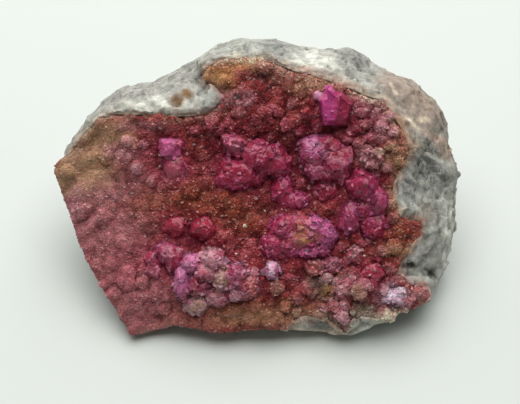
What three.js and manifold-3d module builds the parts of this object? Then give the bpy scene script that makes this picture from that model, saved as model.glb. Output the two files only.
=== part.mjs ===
// Cobaltoan dolomite specimen, in millimetres, +Z up.
// A hand-sized lump of grey dolomite rock lies on a level break. Its front is a shallow hollow that leans
// back from level, lined with a drusy red-brown crust, and clusters of pink rhombohedral crystals stand on
// the crust. The lump is drawn in the hollow's own frame, U to the right, V up the face and W out of it,
// and one tilted group sets that frame down on the break.
import * as THREE from "three";
import { SimplexNoise } from "three/addons/math/SimplexNoise.js";
import { mergeVertices } from "three/addons/utils/BufferGeometryUtils.js";
import Module from "manifold-3d";

const wasm = await Module();
wasm.setup();
const { degToRad, lerp, clamp, smoothstep } = THREE.MathUtils;

// ---------------------------------------------------------------- driving dimensions
const FACE_TILT = degToRad(40); // lean of the face from level
const BED_DEPTH = 22.4; // the level break lies this far under the face's middle
const BACK_DEPTH = 33; // depth of the back under the face's middle
const CRUST_THICKNESS = 1.6;
const SEAM_GAP = 0.35; // between rock and crust
const SEAT_GAP = 0.3; // between crust and clusters
const RIM_INSET = 0.45; // the crust stops this far inside a broken edge
const DRUSE_PITCH = 2.3; // spacing of the crust's crystal points
const DRUSE_RISE = 1.15; // height of the crust's crystal points over its valleys
const DRUSE_SHARE = 0.42; // share of the crust's vertices that carry a point
const FLOOR_PITCH = 5.5; // spacing of the undulations of the rock floor under the crust
const SEAT_PITCH = 3.4; // spacing of the undulations under the clusters
const FACE_REACH = [46, 36]; // half-extents of the blocks that the face is cut with
const BLOCK_DEPTH = 90; // longer than the lump is deep
const GRID_LOOSENESS = 0.36; // share of a grid's pitch by which its points stray
const SLIVER = 0.03; // cut faces thinner than this are smoothed away

// Middle of the face, from which the spokes of the lump are drawn.
const CENTRE = [-1, -1.4];

// Broken rim seen square to the face: U, V, and how far the rim lies under the face's surface there.
const RIM = [
  [-42.1, 3.2, 2.4], [-39.7, 9.6, 3.6], [-36.9, 13.4, 4.6], [-33.8, 17.8, 6], [-31.2, 20.5, 7],
  [-27.6, 22.1, 7], [-23.5, 22.6, 7.4], [-15.4, 26, 8], [-11.2, 28.6, 7.6], [-8.9, 30.7, 7],
  [-6, 31.5, 6.6], [3.7, 31.5, 7], [8.5, 30.5, 7.6], [16, 29.3, 7], [18.9, 29.8, 6.4],
  [21.3, 29.1, 6.6], [22.8, 27.3, 7], [27.9, 23.9, 6], [31.4, 23.3, 6], [35, 21.1, 7], [37.4, 16.8, 8],
  [39.9, 11.7, 9], [41.1, 7, 9.6], [42.5, 5.1, 10], [42.4, 2, 11], [41.5, -7, 12], [40.1, -15.8, 11],
  [38.2, -18.6, 8], [37.2, -20.7, 5], [35.2, -22.9, 3], [27.5, -25, 2.6], [26.1, -27.3, 2.8],
  [22.5, -28.4, 3.2], [19, -30.1, 2.8], [17.4, -30.6, 2.4], [15, -29.5, 2.6], [6.5, -28.9, 2.8],
  [0.8, -28.3, 2.2], [-7.7, -29, 2.2], [-16.9, -27.7, 2.2], [-23.6, -29.5, 2.2], [-26.1, -29.6, 2.2],
  [-31.8, -20.6, 2.2], [-34.7, -16.1, 2.2], [-37.2, -10.4, 2.2],
];

// Edge of the crust: U, V, and the height of the rock lip over the crust there. Where the crust runs out to
// the broken rim its edge is given outside the rim.
const CRUST_EDGE = [
  [-45, 2, 0], [-38.5, 7.6, 0.2], [-36, 11, 0.8], [-32.5, 14.5, 1.2], [-28.7, 15.2, 1.5],
  [-23.2, 14.9, 1.7], [-18, 14.5, 1.7], [-13, 14.7, 1.5], [-9, 15.5, 1.3], [-7.4, 18.5, 0.9],
  [-9, 20.5, 0.8], [-11.4, 21.7, 0.7], [-10.9, 24.4, 0.6], [-7.7, 26, 0.6], [-3, 26.4, 0.8],
  [1, 26.2, 1], [8, 23.3, 1], [12, 22.3, 0.8], [18, 20, 0.7], [25, 17, 0.5], [28.5, 11.5, 0.4],
  [30, 7.6, 0.4], [27, 1.2, 0.6], [26.4, -2.4, 0.7], [28, -5.6, 0.5], [32.4, -6.6, 0.3],
  [32.2, -9.4, 0.3], [28.4, -14.2, 0.5], [27.4, -17, 0.6], [30, -19.2, 0.5], [33.6, -20.4, 0.1],
  [34.4, -21.8, 0], [31, -24.8, 0], [27, -26.2, 0], [23, -26.2, 0], [20.2, -25.4, 0], [18.4, -27.6, 0],
  [17, -29.2, 0], [15.4, -27.8, 0], [13.4, -26, 0], [8, -25.8, 0], [4, -29.5, 0], [0, -34, 0],
  [-30, -36, 0], [-45, -14, 0],
];

// Swells and hollows of the face: U, V, half-widths along U and V, and height.
const SWELLS = [
  [3, 3, 15, 11, -4.0], // deepest part of the hollow
  [-38, 0, 15, 36, -5.0], // left flank falls away
  [0, 32, 60, 9, -3.0], // top rolls back
  [-9, -19, 12, 6, 1.8], // swell under the lower clusters
  [26, 6, 7, 12, 1.6], // right shoulder
  [22, -22, 9, 5, 1.4], // lower right shoulder
  [-20, -26, 12, 5, -1.6], // hollow along the lower left
  [16, 17, 6, 4, 1.0],
];

// Break planes of the back: depth at the face's middle, then the slope along U and along V.
const BACK_BREAKS = [
  [-BACK_DEPTH, 0.1, -0.12], [-36.6, 0.08, 0.58], [-42, 0.82, 0.1],
  [-38, -0.56, 0.14], [-47, 0.5, 0.72], [-46, -0.62, 0.62],
];
const LEDGE_PITCH = 9.5; // spacing of the ledges across the bare rock
const LEDGE_RISE = 1.5;

// Crystal clusters. Each head is a knot of crystals: U, V, half-width along U and V, and how far it stands
// out of the crust. Heads that touch grew together, so a cluster is one solid.
const CLUSTERS = {
  magenta_prism: [[14.4, 16.4, 2.4, 3.9, 3.4], [17.2, 16.2, 2, 3.4, 2.2]],
  saddle_cluster: [
    [10.8, 7.6, 3.2, 3.4, 3.6], [14.6, 6.4, 3.2, 3.4, 3.2], [12.4, 3.4, 3, 2.6, 3], [13.4, 0, 2.7, 2.1, 2.2],
  ],
  raspberry_cluster: [
    [-4.6, 7.4, 3, 2.8, 2.6], [-0.6, 5.8, 3.6, 3.6, 3.4], [-5, 3.2, 3.2, 2.6, 2.8], [-1, 1.8, 3.4, 2.4, 3],
    [3.2, 4.2, 2.8, 2.8, 2.8], [4.8, 0.4, 2.4, 2.6, 2.4], [6.8, -2.4, 2, 1.9, 2],
  ],
  right_cluster: [
    [19.6, 0.2, 3.2, 3, 3.2], [23, -0.8, 2.5, 2.8, 2.6], [21.8, -4, 2.6, 2.6, 2.6],
    [18.8, -5.6, 2.5, 2.9, 2.4], [22.4, -7.8, 2.6, 2.4, 2.2],
  ],
  tan_ball: [[22.4, 6.2, 2.4, 2.3, 2.3]],
  left_bead: [[-18.6, 7.4, 2.2, 2.3, 2.2], [-17.6, 4.4, 2.3, 2.4, 2]],
  low_left_cluster: [[-20.6, -13.2, 2.2, 2.4, 2], [-18.4, -15, 2.3, 2.8, 2.6]],
  crimson_beads: [[-16.8, -7.6, 2.9, 2.4, 2.2], [-12.6, -8, 2.9, 2.5, 2.8]],
  lilac_cluster: [
    [-5.2, -19.4, 3, 2.8, 2.9], [-6.8, -15.4, 2.7, 2.8, 3.4], [-10.4, -13.8, 2.9, 2.4, 3.6],
    [-13.6, -15.6, 2.2, 2.4, 2.8], [-14.2, -19.4, 1.9, 3, 2.9], [-12.6, -22.2, 2.3, 2.2, 2.2],
    [-10, -18.8, 3.3, 3, 3],
  ],
  gilded_cluster: [
    [3.4, -11, 2.8, 2.6, 2.8], [6, -8.6, 2.8, 2.6, 3], [9.6, -8.8, 3, 3, 3.8], [12.6, -9.8, 2.3, 2.8, 3.4],
    [8.4, -11.8, 3, 2, 2.8],
  ],
  lilac_star: [[2.2, -17.2, 2, 1.9, 2.2]],
  coral_ball: [[10.6, -16.4, 1.9, 1.8, 1.8], [13.2, -15.6, 1.8, 1.6, 1.6]],
  amber_ball: [[16.8, -20, 2.2, 2, 2]],
  rim_crystals: [[15.6, -24.2, 1.9, 1.8, 2]],
  frosted_patch: [[25.6, -21.2, 2.8, 1.8, 1.4]],
  low_right_bead: [[22.2, -16.6, 2.1, 1.7, 1.9]],
  mauve_knot: [[18.6, -13.8, 1.8, 1.6, 1.6]],
};
const TALL_HEAD = 3; // heads that stand out this far are three crystals grown together, others two
const CRYSTAL_LEAN = 0.75; // radians that a crystal may lean from standing straight out
const CRYSTAL_EDGE = 1.2; // edge of a head's main crystal, as a share of the head's sizes
const SIDE_CRYSTAL = [0.6, 0.85]; // sizes of the crystals grown through it, as shares of its own
const SIDE_CRYSTAL_OUT = 0.5; // how far out they sit, as a share of the head's half-width
const SEAT_DEPTH = 0.6; // extra height of every crystal, which its seat cuts away

// Single druse crystals fused to the crust, clear of the clusters.
const DRUSE_CRYSTALS = 22;
const DRUSE_CRYSTAL_SIZE = [1.6, 2.7];
const HEAD_CLEARANCE = 2.4;

// Natural pits in the bare rock: U, V, radius.
const PITS = [
  [29.8, -15.2, 1.7], [32.4, -15.6, 1.2], [34.8, -17.6, 1.3], [30.6, -17.4, 0.8], [33.6, 7.4, 1.6],
  [34.6, 3, 1.4], [-3, 28.8, 1.2],
];

// ---------------------------------------------------------------- numbers that come out the same every time
function seeded(seed) {
  let state = seed >>> 0;
  return () => {
    state = (state + 0x6d2b79f5) >>> 0;
    let t = Math.imul(state ^ (state >>> 15), 1 | state);
    t = (t + Math.imul(t ^ (t >>> 7), 61 | t)) ^ t;
    return ((t ^ (t >>> 14)) >>> 0) / 4294967296;
  };
}
const noise = new SimplexNoise({ random: seeded(7) });
const roughness = (u, v, size, layer) => noise.noise3d(u / size, v / size, layer);
const spread = (random, reach) => (random() - 0.5) * 2 * reach;

// ---------------------------------------------------------------- surfaces, as W over U and V
function faceHeight(u, v) {
  const swell = SWELLS.reduce(
    (sum, [cu, cv, ru, rv, rise]) => sum + rise * Math.exp(-(((u - cu) / ru) ** 2) - ((v - cv) / rv) ** 2),
    0,
  );
  return swell + 0.45 * roughness(u, v, 10, 1);
}

const floorHeight = (u, v) => faceHeight(u, v) - CRUST_THICKNESS;

// Ledges that the bare rock broke into, as a saw-tooth warped by noise.
function ledges(u, v) {
  const across = (0.55 * u + 0.83 * v + 2.5 * roughness(u, v, 16, 9)) / LEDGE_PITCH;
  return LEDGE_RISE * (smoothstep(across - Math.floor(across), 0.25, 0.8) - 0.5);
}

function backHeight(u, v) {
  const breaks = Math.max(...BACK_BREAKS.map(([depth, alongU, alongV]) => depth + alongU * u + alongV * v));
  return breaks + ledges(u, v) + 1.1 * roughness(u, v, 12, 3) + 0.5 * roughness(u, v, 5, 4);
}

// Top of the crust: a point of druse stands on some of its vertices, and it lies flat under the clusters.
const allHeads = Object.values(CLUSTERS).flat();
const headsNear = (u, v, margin) =>
  allHeads.some(([hu, hv, ru, rv]) => ((u - hu) / (ru + margin)) ** 2 + ((v - hv) / (rv + margin)) ** 2 < 1);

function druseHeight(u, v, random) {
  const point = random() < DRUSE_SHARE ? 0.3 + 0.7 * random() : -0.3 * random();
  const lumps = 0.45 * roughness(u, v, 3.6, 6);
  return faceHeight(u, v) + (headsNear(u, v, 1) ? -0.15 : DRUSE_RISE * point + lumps);
}

// ---------------------------------------------------------------- solids
// The geometry with positions only, and each corner stored once.
function merged(geometry) {
  geometry.deleteAttribute("normal");
  geometry.deleteAttribute("uv");
  return mergeVertices(geometry, 1e-4);
}

function solidOf(geometry) {
  const { index, attributes } = merged(geometry);
  return new wasm.Manifold(
    new wasm.Mesh({
      numProp: 3,
      vertProperties: new Float32Array(attributes.position.array),
      triVerts: new Uint32Array(index.array),
    }),
  );
}

// Block whose top follows a height, drawn on a grid of loosely placed points.
function blockUnder(pitch, seed, height) {
  const random = seeded(seed);
  const [reachU, reachV] = FACE_REACH;
  const steps = FACE_REACH.map((reach) => Math.round((2 * reach) / pitch));
  const block = merged(new THREE.BoxGeometry(2 * reachU, 2 * reachV, 1, ...steps, 1));
  const { position } = block.attributes;
  for (let i = 0; i < position.count; i += 1) {
    const onTop = position.getZ(i) > 0;
    const onEdge = FACE_REACH.some((reach, axis) => Math.abs(position.getComponent(i, axis)) > reach - 0.1);
    const loose = onTop && !onEdge ? GRID_LOOSENESS * pitch : 0;
    const u = position.getX(i) + spread(random, loose);
    const v = position.getY(i) + spread(random, loose);
    position.setXYZ(i, u, v, onTop ? height(u, v, random) : -BLOCK_DEPTH);
  }
  return solidOf(block);
}

// Upright block over an outline, the outline drawn in by an inset.
function prismOver(outline, inset) {
  const corners = outline.map(([u, v], i) => {
    const [pu, pv] = outline[(i + outline.length - 1) % outline.length];
    const [nu, nv] = outline[(i + 1) % outline.length];
    const along = new THREE.Vector2(nu - pu, nv - pv).normalize();
    return new THREE.Vector2(u + along.y * inset, v - along.x * inset);
  });
  const shape = new THREE.Shape(corners);
  const prism = new THREE.ExtrudeGeometry(shape, { depth: 2 * BLOCK_DEPTH, bevelEnabled: false });
  return solidOf(prism.translate(0, 0, -BLOCK_DEPTH));
}

// ---------------------------------------------------------------- outlines
// Point at a share of the way round a closed outline, with its third value carried along.
function alongOutline(outline, share) {
  const ends = outline.map((a, i) => [a, outline[(i + 1) % outline.length]]);
  const lengths = ends.map(([a, b]) => Math.hypot(b[0] - a[0], b[1] - a[1]));
  let left = share * lengths.reduce((sum, length) => sum + length, 0);
  const side = lengths.findIndex((length) => {
    left -= length;
    return left < 0;
  });
  const [a, b] = ends[side];
  return a.map((value, k) => lerp(value, b[k], 1 + left / lengths[side]));
}

// Where the ray from the centre through a point last crosses an outline: the distance, and the value there.
function lastCrossing(outline, [u, v]) {
  const ray = new THREE.Vector2(u - CENTRE[0], v - CENTRE[1]).normalize();
  const found = { distance: 0, value: 0 };
  outline.forEach((a, i) => {
    const b = outline[(i + 1) % outline.length];
    const side = new THREE.Vector2(b[0] - a[0], b[1] - a[1]);
    const start = new THREE.Vector2(a[0] - CENTRE[0], a[1] - CENTRE[1]);
    const distance = start.cross(side) / ray.cross(side);
    const t = start.cross(ray) / ray.cross(side);
    if (t >= 0 && t <= 1 && distance > found.distance) {
      Object.assign(found, { distance, value: lerp(a[2], b[2], t) });
    }
  });
  return found;
}

// One spoke of the lump: how far out the bare rock and the rim are, and their heights.
function spoke(share) {
  const [u, v, drop] = alongOutline(RIM, share);
  const rim = Math.hypot(u - CENTRE[0], v - CENTRE[1]);
  const edge = lastCrossing(CRUST_EDGE, [u, v]);
  return {
    at: (distance) => [lerp(CENTRE[0], u, distance / rim), lerp(CENTRE[1], v, distance / rim)],
    rim,
    crust: Math.min(edge.distance, 0.93 * rim),
    lip: edge.value,
    rimHeight: faceHeight(u, v) - drop,
    downward: clamp((CENTRE[1] - v) / rim, 0, 1),
  };
}

// ---------------------------------------------------------------- rock
// A closed skin of rings drawn on the spokes: in over the face, out to the rim and round the back.
const RIM_COLUMNS = 82;
const FACE_RINGS = [0.35, 0.6, 0.8, 0.92, 1]; // shares of the way to the crust's edge
const BAND_RINGS = [0.3, 0.64, 1]; // shares of the way from the crust's edge to the rim
const BACK_RINGS = [0.96, 0.91, 0.84, 0.74, 0.6, 0.42, 0.22]; // shares of the rim's distance
const WALL_WIDTH = 5.5; // the sides fall to the back over this width
const WALL_WIDTH_BELOW = 6; // and over this much more under the lower edge
const SHOULDER = 2; // how late the bare band rolls over towards the rim
const LIP_ALLOWANCE = 0.5; // the skin lies this far over the crust, and the hollow is cut through it
const BAND_LUMPS = 1.3; // heights of the bare rock's lumps and chips
const WALL_LUMPS = 1.3;
const CHIPS = 0.5;

function facePoint(s, share) {
  const [u, v] = s.at(s.crust * share);
  return [u, v, faceHeight(u, v) + s.lip + LIP_ALLOWANCE];
}

function bandPoint(s, share, random) {
  const width = s.rim - s.crust;
  const loose = share < 1 ? Math.min(1, width / 5) : 0;
  const [u0, v0] = s.at(s.crust + width * (share + spread(random, 0.1 * loose)));
  const [u, v] = [u0 + spread(random, 0.7 * loose), v0 + spread(random, 0.7 * loose)];
  const rolled = lerp(faceHeight(u, v) + s.lip, s.rimHeight, share ** SHOULDER);
  const rough = BAND_LUMPS * roughness(u, v, 5, 8) + ledges(u, v) + spread(random, CHIPS);
  return [u, v, rolled + loose * rough];
}

function backPoint(s, share, random) {
  const [u0, v0] = s.at(s.rim * share);
  const [u, v] = [u0 + spread(random, 0.8), v0 + spread(random, 0.8)];
  const width = WALL_WIDTH + WALL_WIDTH_BELOW * s.downward;
  const fall = 1 - (1 - clamp((s.rim * (1 - share)) / width, 0, 1)) ** 1.7;
  const rough = WALL_LUMPS * roughness(u, v, 4, 2) + spread(random, CHIPS);
  return [u, v, lerp(s.rimHeight, backHeight(u, v), fall) + rough * Math.sin(Math.PI * fall)];
}

function lumpSolid() {
  const random = seeded(5);
  const points = [];
  const faces = [];
  const ring = (count, pointOn) =>
    Array.from({ length: count }, (_, i) => points.push(pointOn(spoke(i / count))) - 1);
  const thinned = (share) => Math.max(8, Math.round(RIM_COLUMNS * Math.min(1, share + 0.1)));

  // Strip between two rings of unlike counts, always stepping on whichever ring is behind.
  const sew = (from, to) => {
    let [i, j] = [0, 0];
    while (i < from.length || j < to.length) {
      const [a, b] = [from[i % from.length], to[j % to.length]];
      if (j >= to.length || (i < from.length && (i + 1) / from.length <= (j + 1) / to.length)) {
        i += 1;
        faces.push(b, a, from[i % from.length]);
      } else {
        j += 1;
        faces.push(b, a, to[j % to.length]);
      }
    }
  };
  const fan = (loop, middle, turn) =>
    loop.forEach((a, i) => {
      const b = loop[(i + 1) % loop.length];
      faces.push(...(turn ? [a, b, middle] : [b, a, middle]));
    });

  const rings = [
    ...FACE_RINGS.map((share) => ring(thinned(share), (s) => facePoint(s, share))),
    ...BAND_RINGS.map((share) => ring(RIM_COLUMNS, (s) => bandPoint(s, share, random))),
    ...BACK_RINGS.map((share) => ring(thinned(share), (s) => backPoint(s, share, random))),
  ];
  rings.slice(1).forEach((to, k) => sew(rings[k], to));
  fan(rings[0], points.push([...CENTRE, faceHeight(...CENTRE) + 1]) - 1, false);
  fan(rings[rings.length - 1], points.push([...CENTRE, backHeight(...CENTRE)]) - 1, true);

  const skin = new THREE.BufferGeometry().setIndex(faces);
  return solidOf(skin.setAttribute("position", new THREE.Float32BufferAttribute(points.flat(), 3)));
}

// Everything under the level break, as one block in the face's frame.
function blockUnderBed() {
  const block = new THREE.BoxGeometry(2 * BLOCK_DEPTH, 2 * BLOCK_DEPTH, BLOCK_DEPTH);
  return solidOf(block.translate(0, 0, -BED_DEPTH - BLOCK_DEPTH / 2).rotateX(-FACE_TILT));
}

// A squashed ball sunk where the rock's surface lies at U, V.
function pit(rock, [u, v, radius]) {
  const probe = solidOf(new THREE.BoxGeometry(0.4, 0.4, 2 * BLOCK_DEPTH).translate(u, v, 0));
  const surface = rock.intersect(probe).boundingBox().max[2];
  const ball = new THREE.IcosahedronGeometry(radius, 0).scale(1.2, 0.85, 0.9).rotateZ(u + v);
  return solidOf(ball.translate(u, v, surface + 0.1 * radius));
}

function rockSolid() {
  const floor = blockUnder(FLOOR_PITCH, 17, floorHeight);
  const hollow = prismOver(CRUST_EDGE, 0).subtract(floor);
  const lump = lumpSolid().subtract(hollow).subtract(blockUnderBed());
  return PITS.reduce((rock, place) => rock.subtract(pit(rock, place)), lump).simplify(SLIVER);
}

// ---------------------------------------------------------------- crystals
// Dolomite's cleavage rhomb: a cube stood on a corner and flattened along that diagonal.
const RHOMB_FLATTENING = 0.68;
const ON_CORNER = new THREE.Quaternion().setFromUnitVectors(
  new THREE.Vector3(1, 1, 1).normalize(),
  new THREE.Vector3(0, 0, 1),
);

function rhomb([u, v, w], size, random, lean) {
  const crystal = new THREE.BoxGeometry(1, 1, 1).applyQuaternion(ON_CORNER).scale(1, 1, RHOMB_FLATTENING);
  crystal.rotateZ(random() * 2 * Math.PI).rotateX(spread(random, lean)).rotateY(spread(random, lean));
  return solidOf(crystal.scale(...size).translate(u, v, w));
}

// Single rhombs scattered over the crust.
function druseCrystals(crustOutline) {
  const random = seeded(43);
  const crystals = [];
  while (crystals.length < DRUSE_CRYSTALS) {
    const [u, v] = [spread(random, 40), spread(random, 29)];
    const size = lerp(...DRUSE_CRYSTAL_SIZE, random());
    const crystal = rhomb([u, v, faceHeight(u, v) + 0.25], [size, size, size], random, 0.9);
    const onCrust = crystal.subtract(crustOutline).isEmpty();
    if (onCrust && !headsNear(u, v, HEAD_CLEARANCE)) crystals.push(crystal);
  }
  return crystals;
}

function crustSolid() {
  const outline = prismOver(CRUST_EDGE, SEAM_GAP).intersect(prismOver(RIM, RIM_INSET));
  const underside = blockUnder(FLOOR_PITCH, 17, (u, v) => floorHeight(u, v) + SEAM_GAP);
  const druse = blockUnder(DRUSE_PITCH, 29, druseHeight).subtract(underside).intersect(outline);
  return wasm.Manifold.union([druse, ...druseCrystals(outline)]).simplify(SLIVER);
}

// One cluster: each head is a large rhomb with smaller ones grown through it, the first of them leaning over
// towards the next head. The cluster is seated just over the crust.
function clusterSolid(heads, seat, seed) {
  const random = seeded(seed);
  const crystals = heads.flatMap(([u, v, ru, rv, rise], i) => {
    const [nextU, nextV] = heads[(i + 1) % heads.length];
    return Array.from({ length: rise >= TALL_HEAD ? 3 : 2 }, (_, k) => {
      const main = k === 0;
      const share = main ? 1 : lerp(...SIDE_CRYSTAL, random());
      const turn = k === 1 ? Math.atan2(nextV - v, nextU - u) : random() * 2 * Math.PI;
      const out = main ? 0 : SIDE_CRYSTAL_OUT;
      const middle = [
        u + ru * out * Math.cos(turn),
        v + rv * out * Math.sin(turn),
        faceHeight(u, v) + rise * (main ? 0.42 : 0.2 + 0.3 * random()),
      ];
      const size = [ru, rv, rise].map((extent) => CRYSTAL_EDGE * extent * share);
      size[2] += SEAT_DEPTH;
      return rhomb(middle, size, random, CRYSTAL_LEAN);
    });
  });
  return wasm.Manifold.union(crystals).subtract(seat).simplify(SLIVER);
}

// ---------------------------------------------------------------- scene graph
function meshOf(name, solid, color, surfaceRoughness) {
  const { vertProperties, triVerts } = solid.getMesh();
  const geometry = new THREE.BufferGeometry()
    .setAttribute("position", new THREE.BufferAttribute(new Float32Array(vertProperties), 3))
    .setIndex(new THREE.BufferAttribute(new Uint32Array(triVerts), 1));
  geometry.computeVertexNormals();
  const material = new THREE.MeshStandardMaterial({
    color,
    roughness: surfaceRoughness,
    metalness: 0,
    flatShading: true,
  });
  const mesh = new THREE.Mesh(geometry, material);
  mesh.name = name;
  return mesh;
}

const face = new THREE.Group();
face.add(meshOf("rock_matrix", rockSolid(), 0xa3a19a, 0.85));
face.add(meshOf("druse_crust", crustSolid(), 0x7a3a38, 0.4));

const seat = blockUnder(SEAT_PITCH, 53, (u, v) => faceHeight(u, v) + SEAT_GAP);
Object.entries(CLUSTERS).forEach(([name, heads], i) => {
  face.add(meshOf(name, clusterSolid(heads, seat, 11 + 6 * i), 0x93385c, 0.3));
});
face.rotation.x = FACE_TILT;
face.position.z = BED_DEPTH;

// The origin is at the middle of the footprint's box, on the level break.
const specimen = new THREE.Group();
specimen.add(face);
const bounds = new THREE.Box3().setFromObject(specimen, true);
const middle = bounds.getCenter(new THREE.Vector3());
face.position.sub(new THREE.Vector3(middle.x, middle.y, bounds.min.z));

export default specimen;
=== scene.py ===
"""Dresses the cobaltoan dolomite specimen: weathered rock, glittering druse and grown crystals.

Sizes are in millimetres unless a name says otherwise. The crystal-lined face has a frame of its own:
u to the right along it, v up along it and w straight out of it.
"""

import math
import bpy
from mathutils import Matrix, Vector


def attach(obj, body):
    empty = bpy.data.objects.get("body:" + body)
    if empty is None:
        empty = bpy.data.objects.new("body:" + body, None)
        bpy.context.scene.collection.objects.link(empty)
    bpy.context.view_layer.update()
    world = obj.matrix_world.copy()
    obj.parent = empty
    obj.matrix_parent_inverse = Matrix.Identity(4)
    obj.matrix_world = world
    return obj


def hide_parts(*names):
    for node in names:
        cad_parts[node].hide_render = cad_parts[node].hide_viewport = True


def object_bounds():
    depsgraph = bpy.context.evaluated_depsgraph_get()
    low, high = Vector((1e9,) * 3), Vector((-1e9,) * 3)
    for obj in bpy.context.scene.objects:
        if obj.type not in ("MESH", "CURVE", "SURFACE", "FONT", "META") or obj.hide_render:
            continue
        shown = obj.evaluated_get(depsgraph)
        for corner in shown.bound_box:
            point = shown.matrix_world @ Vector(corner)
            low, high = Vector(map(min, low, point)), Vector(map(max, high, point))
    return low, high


bl_info = {
    "name": "Cobaltoan dolomite specimen",
    "version": (1, 0, 0),
    "blender": (4, 5, 0),
    "location": "3D View > Sidebar > Specimen",
    "description": "Rock, druse and crystals of a hand-sized mineral specimen, on a studio floor",
    "category": "Add Mesh",
}

from types import SimpleNamespace

import bmesh
import bpy
import numpy as np
from mathutils import Matrix, Vector, noise
from mathutils.bvhtree import BVHTree
from mathutils.kdtree import KDTree

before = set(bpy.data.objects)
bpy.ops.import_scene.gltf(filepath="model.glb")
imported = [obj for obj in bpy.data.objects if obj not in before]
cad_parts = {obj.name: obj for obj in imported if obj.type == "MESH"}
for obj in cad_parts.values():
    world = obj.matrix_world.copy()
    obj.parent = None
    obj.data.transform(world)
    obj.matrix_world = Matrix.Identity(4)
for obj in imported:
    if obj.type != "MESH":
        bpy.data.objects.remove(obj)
CAD_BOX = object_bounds()

MM = 0.001
# How far the crystal-lined face leans back from level, where its middle lies, and its u, v and w axes.
FACE_LEAN = math.radians(40)
FACE_DATUM = np.array((-0.1786, -6.1419, 22.4))
FACE_AXES = np.array(
    (
        (1, 0, 0),
        (0, math.cos(FACE_LEAN), math.sin(FACE_LEAN)),
        (0, -math.sin(FACE_LEAN), math.cos(FACE_LEAN)),
    )
)
OUT = Vector(FACE_AXES[2])
# The hollow and its crystals lie within this distance of the face's middle plane, and what the druse
# covers lies within this depth under it. The face is about this far across from its middle.
FACE_DEPTH = 20
LINING_DEPTH = 6
FACE_RADIUS = 30
# The crystals and the druse's bed stay this far above the floor, and the rock may pass the box of the
# solids by this much.
LOWEST, BED_LOWEST = 0.1, 0.3
BOX_SLACK = 0.2
# Rock this close to the druse is fitted to its edge.
LIP_REACH = 4
# How far behind the face the rock's stains end, and its scratches begin.
STAINS_END = (-9, -15)
SCRATCHES_BEGIN = (-14, -9)
# How much of its red, green and blue the light loses in the deepest valleys of the druse.
VALLEY_LOSS = np.array((0.62, 0.8, 0.76))
# Small lobes for each millimetre of width round the foot of a grainy group's lobes.
SATELLITES = 2.6

ROCK, CRUST = "rock_matrix", "druse_crust"
ROCK_SEED, DRUSE_SEED, GROWTH_SEED, EDGE_SEED = 12, 31, 57, 40
TINT = "tint"
DOLOMITE_IOR = 1.68

# A dolomite rhomb stood on its blunt corner: its three edges rise this steeply from level.
EDGE_RISE = math.radians(26.3)
EDGES = np.array(
    [
        (math.cos(EDGE_RISE) * math.cos(turn), math.cos(EDGE_RISE) * math.sin(turn), math.sin(EDGE_RISE))
        for turn in (0, math.tau / 3, 2 * math.tau / 3)
    ]
)
RHOMB = (np.array([(i, j, k) for k in (0, 1) for j in (0, 1) for i in (0, 1)]) - 0.5) @ EDGES
RHOMB_SIDES = np.array(
    ((0, 2, 3, 1), (4, 5, 7, 6), (0, 1, 5, 4), (2, 6, 7, 3), (0, 4, 6, 2), (1, 3, 7, 5))
)
# The blunt tip of a rhomb that is buried up to its middle, and how far its foot reaches sideways and down.
TIP_FOOT = (0.9, 0.9, 0.3)
TIP = np.array([RHOMB[7], *(-EDGES * TIP_FOOT)])
TIP_SIDES = np.array(((0, 1, 2), (0, 2, 3), (0, 3, 1), (1, 3, 2)))

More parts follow.
